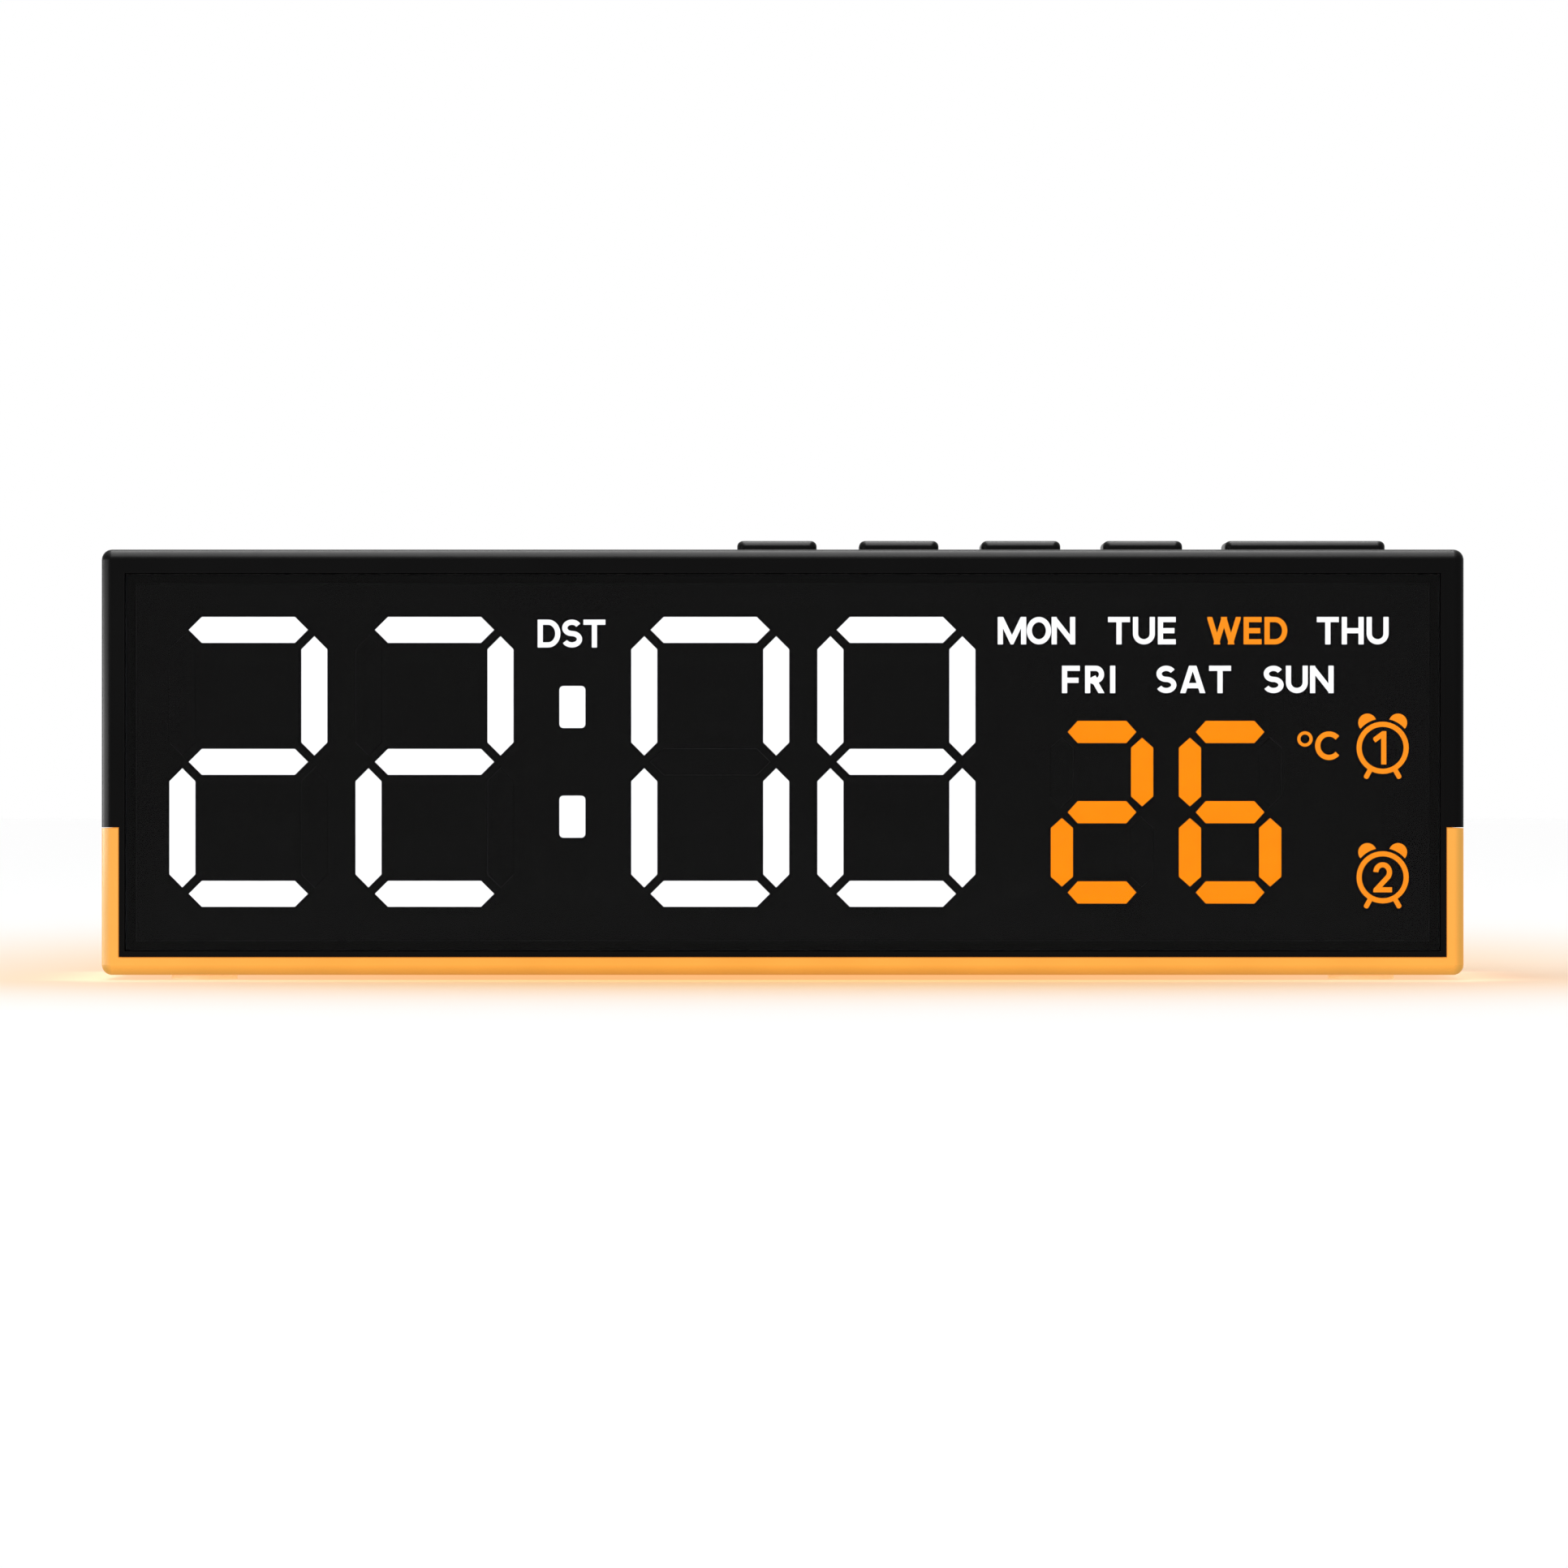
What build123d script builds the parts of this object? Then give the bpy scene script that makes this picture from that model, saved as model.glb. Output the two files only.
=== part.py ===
from build123d import *
from dataclasses import dataclass
import math
import os

# Digital alarm clock: seven-segment display behind a smoked lens, a row of top buttons and a
# glowing bar round the base. X runs to the viewer's right, Y from front to rear and Z up.
# The origin is on the table below the middle of the case, and sizes are in millimetres.

# Display layout, which sets the width and height of the case
LEFT_MARGIN = 8.15  # case edge to the first hour digit
RIGHT_MARGIN = 6.5  # alarm signs to the case edge
TOP_MARGIN = 8.15  # least room above the digits
BOTTOM_MARGIN = 8.25
TIME_SPAN = 16.0  # between the centre lines of neighbouring bars
TIME_BAR_WIDTH = 3.15
TIME_BAR_POINT = 1.58
TIME_BAR_GAP = 1.55  # how far a bar falls short of the span
TIME_DIGIT_GAP = 3.42
TIME_PAIR_GAP = 14.28  # hours to minutes, with the colon between them
COLON_HEIGHT = 5.1
COLON_CORNER = 0.5
COLON_SPACING = 13.3
CALENDAR_GAP = 2.75  # minutes to weekdays
CALENDAR_WIDTH = 49.9  # weekdays, temperature and alarm signs
WEEKDAY_INSET = 4.7
WEEKDAY_PITCH = 12.8
WEEKDAY_ROW_PITCH = 5.9
WEEKDAY_BOX_WIDTH = 11.2
LEGEND_BOX_HEIGHT = 4.4
LEGEND_DROP = 1.7  # top of the digits to the middle of the first row of words
SUMMER_BOX_WIDTH = 9.4
TEMPERATURE_INSET = 6.4
TEMPERATURE_LIFT = 0.4
TEMPERATURE_SPAN = 9.73
TEMPERATURE_BAR_WIDTH = 2.68
TEMPERATURE_BAR_POINT = 1.2
TEMPERATURE_BAR_GAP = 1.43
TEMPERATURE_DIGIT_GAP = 3.12
DEGREE_BOX_WIDTH = 6.0
ALARM_BOX_WIDTH = 6.1
ALARM_BOX_HEIGHT = 8.0
ALARM_SPACING = 15.75
TIME_TEXT = "2208"
TEMPERATURE_TEXT = "26"

# Depth of each layer, front to rear, which sets the depth of the case
LENS_THICKNESS = 1.5
LENS_AIR_GAP = 0.2
MASK_THICKNESS = 0.4
REFLECTOR_DEPTH = 8.0
BOARD_THICKNESS = 1.6
ELECTRONICS_DEPTH = 13.7
COVER_THICKNESS = 2.6

# Case, light bar and feet
CORNER_RADIUS = 1.25
EDGE_RADIUS = 1.2
LIGHT_BAR_WALL = 2.1
LIGHT_BAR_WING_HEIGHT = 17.8
RIM_LIP = 0.8
SEAT_WIDTH = 1.2
FRONT_WALL = 1.2
SHOULDER_WALL = 2.0
BOSS_RADIUS = 2.0
BOSS_EDGE_INSET = 2.65  # screw centre to the edge of the rear cover
BASE_BOSS_CAP = 0.5  # closed end above a base screw
RIB_WIDTH = 1.2
FOOT_RADIUS = 4.0
FOOT_THICKNESS = 1.2
FOOT_PROUD = 0.6
FOOT_END_INSET = 12.0
FOOT_EDGE_INSET = 5.5

# Fits
JOINT_GAP = 0.1  # between fixed mouldings
SEGMENT_GAP = 0.05  # round each light segment
WIRE_GAP = 0.1  # round pins, plungers and contact strips
BUTTON_GAP = 0.2
BOARD_GAP = 0.2  # round the display board
BOARD_GRIP_GAP = 0.05  # in the slots that hold a board or the strip's tail
NOTCH_GAP = 0.3  # round the screw bosses
THREAD_GAP = 0.05
SCREW_HEAD_GAP = 0.2  # round the heads of the cover screws
BOARD_SCREW_GAP = 0.3  # heads of the board screws to the floor and the ceiling
OVERCUT = 1.0  # how far cutting blocks run past a face

# Display stack
SEGMENT_SEAT_DEPTH = 0.8
SEGMENT_SEAT_WIDTH = 0.35
REFLECTOR_MARGIN = 1.6  # round the digits, above and below
REFLECTOR_SIDE_GAP = 0.8
LED_LENGTH = 1.6
LED_WIDTH = 0.8
LED_HEIGHT = 0.8

# Screws
SCREW_HEAD_RADIUS = 1.9
SCREW_HEAD_HEIGHT = 1.2
SCREW_SHANK_RADIUS = 0.8
SCREW_HOLE_RADIUS = 1.1
SCREW_SINK = 1.3  # depth of the pocket for a cover screw's head
SCREW_CROSS_LENGTH = 2.2
SCREW_CROSS_WIDTH = 0.5
SCREW_CROSS_DEPTH = 0.7
COVER_SCREW_LENGTH = 8.0
BOARD_SCREW_LENGTH = 6.0
BASE_SCREW_HEAD_HEIGHT = 1.1
BASE_SCREW_LENGTH = 5.0
PILOT_SPARE = 0.4  # how far a pilot hole runs past its screw

# Buttons and switches
BUTTON_WIDTH = 9.85
SNOOZE_WIDTH = 19.85
BUTTON_DEPTH = 7.0
BUTTON_SPACING = 5.25
BUTTON_ROW_INSET = 7.9  # snooze button to the case edge
BUTTON_PROUD = 1.7
BUTTON_CORNER = 1.0
BUTTON_EDGE = 0.7
BUTTON_WALL = 1.2
BUTTON_REST_GAP = 0.05
FLANGE_THICKNESS = 1.0
FLANGE_REACH = 0.8
STEM_RADIUS = 1.6
STEM_LENGTH = 1.2
PLUNGER_RADIUS = 1.7
PLUNGER_HEIGHT = 1.5
PLUNGER_DEPTH = 1.0
TRAVEL_ROOM = 0.8  # below a button and its plunger
SWITCH_SIZE = 6.0
SWITCH_HEIGHT = 3.5
BUTTON_BOARD_MARGIN = 3.0

# Small boards, their forks on the rear cover and their pin headers
BOARD_EDGE_GAP = 0.4
BOARD_FRONT_GAP = 1.0
FORK_REACH = 3.5
FORK_WIDTH = 3.0
FORK_THICKNESS = 1.4
PIN_SIZE = 0.64
PIN_PITCH = 2.54
PIN_DEPTH = 1.2  # into the display board
PIN_TAIL = 0.6  # below the small board
HEADER_DEPTH = 2.5
HEADER_HEIGHT = 2.5
HEADER_PINS = 4

# Power inlet
POWER_INSET = 30.5  # case end to the middle of the socket
POWER_Z = 14.0
POWER_BOARD_WIDTH = 22.0
POWER_FORK_SPREAD = 8.6
USB_WIDTH = 8.94
USB_HEIGHT = 3.26
USB_LENGTH = 7.35
USB_WALL = 0.3
USB_RECESS = 0.4
USB_BACK = 1.5
USB_TONGUE_WIDTH = 6.7
USB_TONGUE_THICKNESS = 0.7
USB_TONGUE_SETBACK = 0.9
USB_WINDOW_GAP = 0.3

# Backup battery and its door
BATTERY_INSET = 44.5  # case end to the middle of the battery
COIN_RADIUS = 10.0
COIN_THICKNESS = 3.2
COIN_STEP = 0.5
COIN_CAP_INSET = 1.4
COIN_GAP = 0.3
BAY_WALL = 1.5
BAY_FLOOR = 1.2
DOOR_LIFT = 4.5  # rim of the case up to the door
DOOR_LATCH_ROOM = 3.2  # lower edge of the door to the battery pocket
DOOR_SIDE_SEAT = 1.7  # pocket to each side of the door
DOOR_HINGE_ROOM = 5.2  # pocket to the upper edge of the door
DOOR_HEAD_ROOM = 2.4  # least room from the door up to the button board
DOOR_THICKNESS = 1.6
DOOR_GAP = 0.2
DOOR_SEAT_GAP = 0.15
TAB_WIDTH = 5.0
TAB_INSET = 0.5  # side of the door to the tab
TAB_THICKNESS = 0.8
TAB_REACH = 1.6
TAB_ROOT = 1.0
LATCH_WIDTH = 8.0
LATCH_LENGTH = 7.0
LATCH_SLIT = 0.8
GRIP_COUNT = 4
GRIP_PITCH = 1.4
GRIP_DEPTH = 0.4
CONTACT_THICKNESS = 0.3
CONTACT_WIDTH = 4.0
CONTACT_RISE = 0.5
CONTACT_BUTTON_RADIUS = 1.5
CONTACT_REACH = 8.5

# Sound vents in the rear cover
VENT_X = -14.0
VENT_Z = 25.0
VENT_COUNT = 7
VENT_PITCH = 3.2
VENT_WIDTH = 1.4
VENT_LENGTH = 13.0

# Night light strip under the housing
STRIP_LENGTH = 144.0
STRIP_END_WALL = 1.2  # least floor beyond each end
STRIP_WIDTH = 7.0
STRIP_THICKNESS = 0.4
STRIP_LED_COUNT = 12
STRIP_LED_LENGTH = 3.5
STRIP_LED_WIDTH = 2.8
STRIP_LED_HEIGHT = 0.7
STRIP_TAIL_X = 20.0
STRIP_TAIL_WIDTH = 6.0
STRIP_TAIL_THICKNESS = 0.3
STRIP_TAIL_STANDOFF = 0.9  # display board to the tail
CONNECTOR_WIDTH = 9.0
CONNECTOR_DEPTH = 2.2
CONNECTOR_HEIGHT = 3.0
CONNECTOR_LIFT = 3.0  # floor to the connector
CONNECTOR_GRIP = 1.6  # how far the tail goes in

# Parts on the rear of the display board
CHIP_WIDTH = 7.5
CHIP_HEIGHT = 2.1
CHIP_STANDOFF = 0.2
CHIP_END = 0.685  # body beyond the last leg
CHIP_LEAD_COUNT = 10
CHIP_LEAD_PITCH = 1.27
CHIP_LEAD_WIDTH = 0.42
CHIP_LEAD_LENGTH = 1.2
CHIP_LEAD_HEIGHT = 0.9
CHIP_DROP = 4.45  # button board down to the legs
CONTROLLER_X = 8.0
DRIVER_X = -36.0
CRYSTAL_RADIUS = 1.5
CRYSTAL_LENGTH = 8.0
CRYSTAL_GAP = 1.55  # below the legs of the controller
CAPACITOR_RADIUS = 3.15
CAPACITOR_HEIGHT = 7.7
CAPACITOR_GAP = 2.9  # below the legs of the driver
BUZZER_RADIUS = 6.0
BUZZER_HEIGHT = 8.5
BUZZER_HOLE_RADIUS = 1.0
BUZZER_HOLE_DEPTH = 2.0
SENSOR_INSET = 12.5  # case end to the sensor
SENSOR_Z = 14.0
SENSOR_RADIUS = 1.2
SENSOR_LEAD_RADIUS = 0.25
SENSOR_LEAD_LENGTH = 4.0
SENSOR_LEAD_SPREAD = 1.2

# Digits
TIME_BAR_LENGTH = TIME_SPAN - TIME_BAR_GAP
TIME_DIGIT_WIDTH = TIME_SPAN + TIME_BAR_WIDTH
TIME_DIGIT_PITCH = TIME_DIGIT_WIDTH + TIME_DIGIT_GAP
TIME_PAIR_PITCH = TIME_DIGIT_PITCH + TIME_DIGIT_WIDTH + TIME_PAIR_GAP
TIME_WIDTH = TIME_PAIR_PITCH + TIME_DIGIT_PITCH + TIME_DIGIT_WIDTH
TIME_HEIGHT = 2 * TIME_SPAN + TIME_BAR_WIDTH
TEMPERATURE_BAR_LENGTH = TEMPERATURE_SPAN - TEMPERATURE_BAR_GAP
TEMPERATURE_DIGIT_WIDTH = TEMPERATURE_SPAN + TEMPERATURE_BAR_WIDTH
TEMPERATURE_PITCH = TEMPERATURE_DIGIT_WIDTH + TEMPERATURE_DIGIT_GAP

# Pieces that take their size from what they hold
POCKET_RADIUS = COIN_RADIUS + COIN_GAP
DOOR_WIDTH = 2 * (POCKET_RADIUS + DOOR_SIDE_SEAT)
DOOR_HEIGHT = DOOR_LATCH_ROOM + 2 * POCKET_RADIUS + DOOR_HINGE_ROOM
CHIP_LENGTH = (CHIP_LEAD_COUNT - 1) * CHIP_LEAD_PITCH + 2 * CHIP_END
PIN_HOLE_RADIUS = math.hypot(PIN_SIZE, PIN_SIZE) / 2 + WIRE_GAP

# Overall size: the case is as wide and high as its display, or as what lies behind it
DISPLAY_WIDTH = LEFT_MARGIN + TIME_WIDTH + CALENDAR_GAP + CALENDAR_WIDTH + RIGHT_MARGIN
STRIP_ROOM = STRIP_LENGTH + 2 * (STRIP_END_WALL + 2 * JOINT_GAP + LIGHT_BAR_WALL)
WIDTH = max(DISPLAY_WIDTH, STRIP_ROOM)
DISPLAY_HEIGHT = BOTTOM_MARGIN + TIME_HEIGHT + TOP_MARGIN
SWITCH_ROOM = BOARD_THICKNESS + SWITCH_HEIGHT + PLUNGER_HEIGHT
BUTTON_ROOM = STEM_LENGTH + FLANGE_THICKNESS + BUTTON_REST_GAP
DOOR_ROOM = DOOR_LIFT + DOOR_HEIGHT + DOOR_HEAD_ROOM
HEIGHT = max(DISPLAY_HEIGHT, 2 * (LIGHT_BAR_WALL + RIM_LIP) + DOOR_ROOM + SWITCH_ROOM + BUTTON_ROOM)
DISPLAY_DEPTH = LENS_THICKNESS + LENS_AIR_GAP + MASK_THICKNESS + REFLECTOR_DEPTH + BOARD_THICKNESS
DEPTH = DISPLAY_DEPTH + ELECTRONICS_DEPTH + COVER_THICKNESS

# Levels along Y
FRONT_Y = -DEPTH / 2
REAR_Y = DEPTH / 2
LENS_BACK_Y = FRONT_Y + LENS_THICKNESS
FRONT_WALL_BACK_Y = LENS_BACK_Y + FRONT_WALL
MASK_FRONT_Y = LENS_BACK_Y + LENS_AIR_GAP
MASK_BACK_Y = MASK_FRONT_Y + MASK_THICKNESS
BOARD_FRONT_Y = MASK_BACK_Y + REFLECTOR_DEPTH
BOARD_BACK_Y = BOARD_FRONT_Y + BOARD_THICKNESS
COVER_INNER_Y = REAR_Y - COVER_THICKNESS
BUTTON_Y = (BOARD_BACK_Y + COVER_INNER_Y) / 2
PIN_TAIL_Y = (BOARD_BACK_Y + HEADER_DEPTH + BUTTON_Y - SWITCH_SIZE / 2) / 2
SMALL_BOARD_FRONT_Y = BOARD_BACK_Y + BOARD_FRONT_GAP
SMALL_BOARD_BACK_Y = COVER_INNER_Y - BOARD_EDGE_GAP
DOOR_INNER_Y = REAR_Y - DOOR_THICKNESS
DOOR_SEAT_Y = DOOR_INNER_Y - DOOR_SEAT_GAP
DOOR_AXIS_Y = REAR_Y - DOOR_THICKNESS / 2
COIN_BACK_Y = DOOR_INNER_Y - COIN_GAP
COIN_FRONT_Y = COIN_BACK_Y - COIN_THICKNESS
BAY_FLOOR_Y = COIN_FRONT_Y - CONTACT_RISE
STRIP_FRONT_Y = BOARD_BACK_Y + STRIP_TAIL_STANDOFF

# Levels along Z
BASE_Z = FOOT_PROUD
TOP_Z = BASE_Z + HEIGHT
FOOT_TOP_Z = FOOT_THICKNESS
BAR_INNER_Z = BASE_Z + LIGHT_BAR_WALL
WING_TOP_Z = BASE_Z + LIGHT_BAR_WING_HEIGHT
SHOULDER_Z = WING_TOP_Z + JOINT_GAP + SHOULDER_WALL
PANEL_BOTTOM_Z = BAR_INNER_Z + RIM_LIP
PANEL_TOP_Z = TOP_Z - LIGHT_BAR_WALL - RIM_LIP
WINDOW_BOTTOM_Z = PANEL_BOTTOM_Z + SEAT_WIDTH
WINDOW_TOP_Z = PANEL_TOP_Z - SEAT_WIDTH
FLANGE_TOP_Z = PANEL_TOP_Z - BUTTON_REST_GAP
FLANGE_BOTTOM_Z = FLANGE_TOP_Z - FLANGE_THICKNESS
BUTTON_TOP_Z = TOP_Z + BUTTON_PROUD
STEM_BOTTOM_Z = FLANGE_BOTTOM_Z - STEM_LENGTH
SWITCH_TOP_Z = STEM_BOTTOM_Z - PLUNGER_HEIGHT
BUTTON_BOARD_Z = SWITCH_TOP_Z - SWITCH_HEIGHT
POWER_BOARD_Z = POWER_Z - USB_HEIGHT / 2
BASE_BOSS_TOP_Z = FOOT_TOP_Z + BASE_SCREW_LENGTH + BASE_BOSS_CAP
STRIP_LED_Z = BAR_INNER_Z + JOINT_GAP
STRIP_Z = STRIP_LED_Z + STRIP_LED_HEIGHT
CHANNEL_TOP_Z = STRIP_Z + STRIP_THICKNESS
CONNECTOR_Z = WINDOW_BOTTOM_Z + CONNECTOR_LIFT
DOOR_BOTTOM_Z = PANEL_BOTTOM_Z + DOOR_LIFT
DOOR_TOP_Z = DOOR_BOTTOM_Z + DOOR_HEIGHT
DOOR_AXIS_Z = DOOR_TOP_Z - DOOR_THICKNESS / 2
BATTERY_Z = DOOR_BOTTOM_Z + DOOR_LATCH_ROOM + POCKET_RADIUS
CHIP_Z = BUTTON_BOARD_Z - BOARD_THICKNESS - CHIP_DROP - CHIP_LEAD_LENGTH - CHIP_WIDTH / 2
CHIP_LEAD_BOTTOM_Z = CHIP_Z - CHIP_WIDTH / 2 - CHIP_LEAD_LENGTH
CRYSTAL_Z = CHIP_LEAD_BOTTOM_Z - CRYSTAL_GAP - CRYSTAL_RADIUS
CAPACITOR_Z = CHIP_LEAD_BOTTOM_Z - CAPACITOR_GAP - CAPACITOR_RADIUS

# Places along X, and middles of the display blocks
BAR_INNER_X = WIDTH / 2 - LIGHT_BAR_WALL
PANEL_X = BAR_INNER_X - RIM_LIP
WINDOW_X = PANEL_X - SEAT_WIDTH
TIME_X = -WIDTH / 2 + LEFT_MARGIN + TIME_WIDTH / 2
TIME_Z = BASE_Z + BOTTOM_MARGIN + TIME_HEIGHT / 2
TIME_TOP_Z = TIME_Z + TIME_HEIGHT / 2
TIME_BOTTOM_Z = TIME_Z - TIME_HEIGHT / 2
HOURS_X = TIME_X - TIME_PAIR_PITCH / 2
CALENDAR_RIGHT_X = WIDTH / 2 - RIGHT_MARGIN
CALENDAR_LEFT_X = CALENDAR_RIGHT_X - CALENDAR_WIDTH
TEMPERATURE_X = CALENDAR_LEFT_X + TEMPERATURE_INSET + (TEMPERATURE_DIGIT_WIDTH + TEMPERATURE_PITCH) / 2
TEMPERATURE_Z = TIME_BOTTOM_Z + TEMPERATURE_LIFT + TEMPERATURE_SPAN + TEMPERATURE_BAR_WIDTH / 2
TEMPERATURE_RIGHT_X = TEMPERATURE_X + (TEMPERATURE_DIGIT_WIDTH + TEMPERATURE_PITCH) / 2
ALARM_X = CALENDAR_RIGHT_X - ALARM_BOX_WIDTH / 2
ALARM_LEFT_X = CALENDAR_RIGHT_X - ALARM_BOX_WIDTH
ALARM_Z = TIME_BOTTOM_Z + ALARM_BOX_HEIGHT / 2
UPPER_ALARM_Z = ALARM_Z + ALARM_SPACING
DEGREE_X = (TEMPERATURE_RIGHT_X + ALARM_LEFT_X) / 2
BOARD_SCREW_RIGHT_X = (TEMPERATURE_RIGHT_X + ALARM_LEFT_X) / 2
REFLECTOR_X = WINDOW_X - REFLECTOR_SIDE_GAP
POWER_X = POWER_INSET - WIDTH / 2
BATTERY_X = WIDTH / 2 - BATTERY_INSET
SENSOR_X = WIDTH / 2 - SENSOR_INSET

# Place of each bar in a digit, in spans from its middle, and whether the bar stands upright
BAR_PLACES = {
    "a": (0, 1, False),
    "b": (0.5, 0.5, True),
    "c": (0.5, -0.5, True),
    "d": (0, -1, False),
    "e": (-0.5, -0.5, True),
    "f": (-0.5, 0.5, True),
    "g": (0, 0, False),
}
LIT_BARS = {
    "0": "abcdef",
    "1": "bc",
    "2": "abdeg",
    "3": "abcdg",
    "4": "bcfg",
    "5": "acdfg",
    "6": "acdefg",
    "7": "abc",
    "8": "abcdefg",
    "9": "abcdfg",
}


@dataclass(frozen=True)
class Segment:
    """One bar of a seven-segment digit, seen from the front."""

    x: float
    z: float
    length: float
    width: float
    point: float
    upright: bool
    lit: bool

    def outline(self, grow=0.0):
        """Hexagon with pointed ends, grown outwards on every side."""
        half = self.width / 2 + grow
        slant = self.point / (self.width / 2)
        tip = self.length / 2 + grow * math.hypot(1, slant)
        shoulder = tip - half * slant
        upper = [(-tip, 0), (-shoulder, half), (shoulder, half)]
        lower = [(-x, -z) for x, z in upper]
        bar = Polygon(*reversed(upper + lower), align=None)
        return Pos(self.x, self.z) * Rot(0, 0, 90 if self.upright else 0) * bar


def span_box(x0, x1, y0, y1, z0, z1):
    """Box between two planes on each axis."""
    middle = Pos((x0 + x1) / 2, (y0 + y1) / 2, (z0 + z1) / 2)
    return middle * Box(x1 - x0, y1 - y0, z1 - z0)


def wide_box(x, half_width, y0, y1, z0, z1):
    """Box that reaches equally far to both sides of x."""
    return span_box(x - half_width, x + half_width, y0, y1, z0, z1)


def rod_x(y, z, radius, x0, x1):
    """Round bar along X."""
    return Pos((x0 + x1) / 2, y, z) * Rot(0, 90, 0) * Cylinder(radius, x1 - x0)


def rod_y(x, z, radius, y0, y1):
    """Round bar along Y."""
    return Pos(x, (y0 + y1) / 2, z) * Rot(90, 0, 0) * Cylinder(radius, y1 - y0)


def rod_z(x, y, radius, z0, z1):
    """Round bar along Z."""
    return Pos(x, y, (z0 + z1) / 2) * Cylinder(radius, z1 - z0)


def front_prism(outline, y0, y1):
    """Outline seen from the front, drawn in X and Z, pulled from y0 to y1."""
    return extrude(Plane.XZ.offset(-y1) * outline, amount=y1 - y0)


def top_prism(outline, z0, z1):
    """Outline seen from above, pulled from z0 up to z1."""
    return extrude(Plane.XY.offset(z0) * outline, amount=z1 - z0)


def digit_segments(text, x, z, pitch, span, width, length, point):
    """Bars of a row of digits centred on x and z."""
    segments = []
    for index, figure in enumerate(text):
        middle = x + (index - (len(text) - 1) / 2) * pitch
        for name, (right, up, upright) in BAR_PLACES.items():
            place = (middle + right * span, z + up * span)
            segments.append(Segment(*place, length, width, point, upright, name in LIT_BARS[figure]))
    return segments


def time_segments():
    """Bars of the hours and the minutes."""
    shape = (TIME_DIGIT_PITCH, TIME_SPAN, TIME_BAR_WIDTH, TIME_BAR_LENGTH, TIME_BAR_POINT)
    hours = digit_segments(TIME_TEXT[:2], HOURS_X, TIME_Z, *shape)
    minutes = digit_segments(TIME_TEXT[2:], HOURS_X + TIME_PAIR_PITCH, TIME_Z, *shape)
    return hours + minutes


def temperature_segments():
    """Bars of the temperature."""
    bar = (TEMPERATURE_BAR_WIDTH, TEMPERATURE_BAR_LENGTH, TEMPERATURE_BAR_POINT)
    place = (TEMPERATURE_X, TEMPERATURE_Z, TEMPERATURE_PITCH, TEMPERATURE_SPAN)
    return digit_segments(TEMPERATURE_TEXT, *place, *bar)


def colon_places():
    """Middle of each colon dot."""
    return [(TIME_X, TIME_Z + side * COLON_SPACING / 2) for side in (-1, 1)]


def colon_outlines(grow=0.0):
    """Rounded oblong of each colon dot."""
    dot = RectangleRounded(TIME_BAR_WIDTH + 2 * grow, COLON_HEIGHT + 2 * grow, COLON_CORNER + grow)
    return [Pos(x, z) * dot for x, z in colon_places()]


def window_outlines(grow=0.0):
    """Outline of every light segment on the face."""
    bars = [segment.outline(grow) for segment in time_segments() + temperature_segments()]
    return bars + colon_outlines(grow)


def word_boxes():
    """Middle, width and height of the light box behind each word."""
    row_z = TIME_TOP_Z - LEGEND_DROP
    first_x = CALENDAR_LEFT_X + WEEKDAY_INSET
    boxes = [(TIME_X, row_z, SUMMER_BOX_WIDTH, LEGEND_BOX_HEIGHT)]
    for place in range(4):
        boxes.append((first_x + place * WEEKDAY_PITCH, row_z, WEEKDAY_BOX_WIDTH, LEGEND_BOX_HEIGHT))
    second_x = first_x + WEEKDAY_PITCH / 2
    second_z = row_z - WEEKDAY_ROW_PITCH
    for place in range(3):
        boxes.append((second_x + place * WEEKDAY_PITCH, second_z, WEEKDAY_BOX_WIDTH, LEGEND_BOX_HEIGHT))
    return boxes


def sign_boxes():
    """Middle, width and height of the light box behind the degree sign and each alarm sign."""
    boxes = [(DEGREE_X, UPPER_ALARM_Z, DEGREE_BOX_WIDTH, LEGEND_BOX_HEIGHT)]
    return boxes + [(ALARM_X, z, ALARM_BOX_WIDTH, ALARM_BOX_HEIGHT) for z in (ALARM_Z, UPPER_ALARM_Z)]


def foot_places():
    """Middle of each foot, which hides a base screw."""
    x = WIDTH / 2 - FOOT_END_INSET
    y = DEPTH / 2 - FOOT_EDGE_INSET
    return [(side * x, end * y) for side in (-1, 1) for end in (-1, 1)]


def cover_screw_places():
    """Axis of each rear cover screw, seen from the front."""
    x = PANEL_X - BOSS_EDGE_INSET
    levels = (PANEL_BOTTOM_Z + BOSS_EDGE_INSET, PANEL_TOP_Z - BOSS_EDGE_INSET)
    return [(side * x, z) for side in (-1, 1) for z in levels]


def board_screw_places():
    """Axis of each display board screw, in the dark spots between the digits."""
    inset = SCREW_HEAD_RADIUS + BOARD_SCREW_GAP
    levels = (WINDOW_BOTTOM_Z + inset, PANEL_TOP_Z - inset)
    return [(x, z) for x in (HOURS_X, BOARD_SCREW_RIGHT_X) for z in levels]


def button_places():
    """Name, middle and width of each top button, from the right end of the row."""
    right = WIDTH / 2 - BUTTON_ROW_INSET
    places = []
    for name in ("snooze", "alarm", "plus", "minus", "set"):
        width = SNOOZE_WIDTH if name == "snooze" else BUTTON_WIDTH
        places.append((name, right - width / 2, width))
        right -= width + BUTTON_SPACING
    return places


def button_gap_x(left, right):
    """Middle of the gap between two neighbouring buttons."""
    reach = {name: (x - width / 2, x + width / 2) for name, x, width in button_places()}
    return (reach[left][1] + reach[right][0]) / 2


def case_block():
    """Rounded outer block shared by the housing and the light bar."""
    block = span_box(-WIDTH / 2, WIDTH / 2, FRONT_Y, REAR_Y, BASE_Z, TOP_Z)
    block = fillet(block.edges().filter_by(Axis.Y), CORNER_RADIUS)
    ends = block.faces().sort_by(Axis.Y)
    return fillet(ends[0].edges() + ends[-1].edges(), EDGE_RADIUS)


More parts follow.
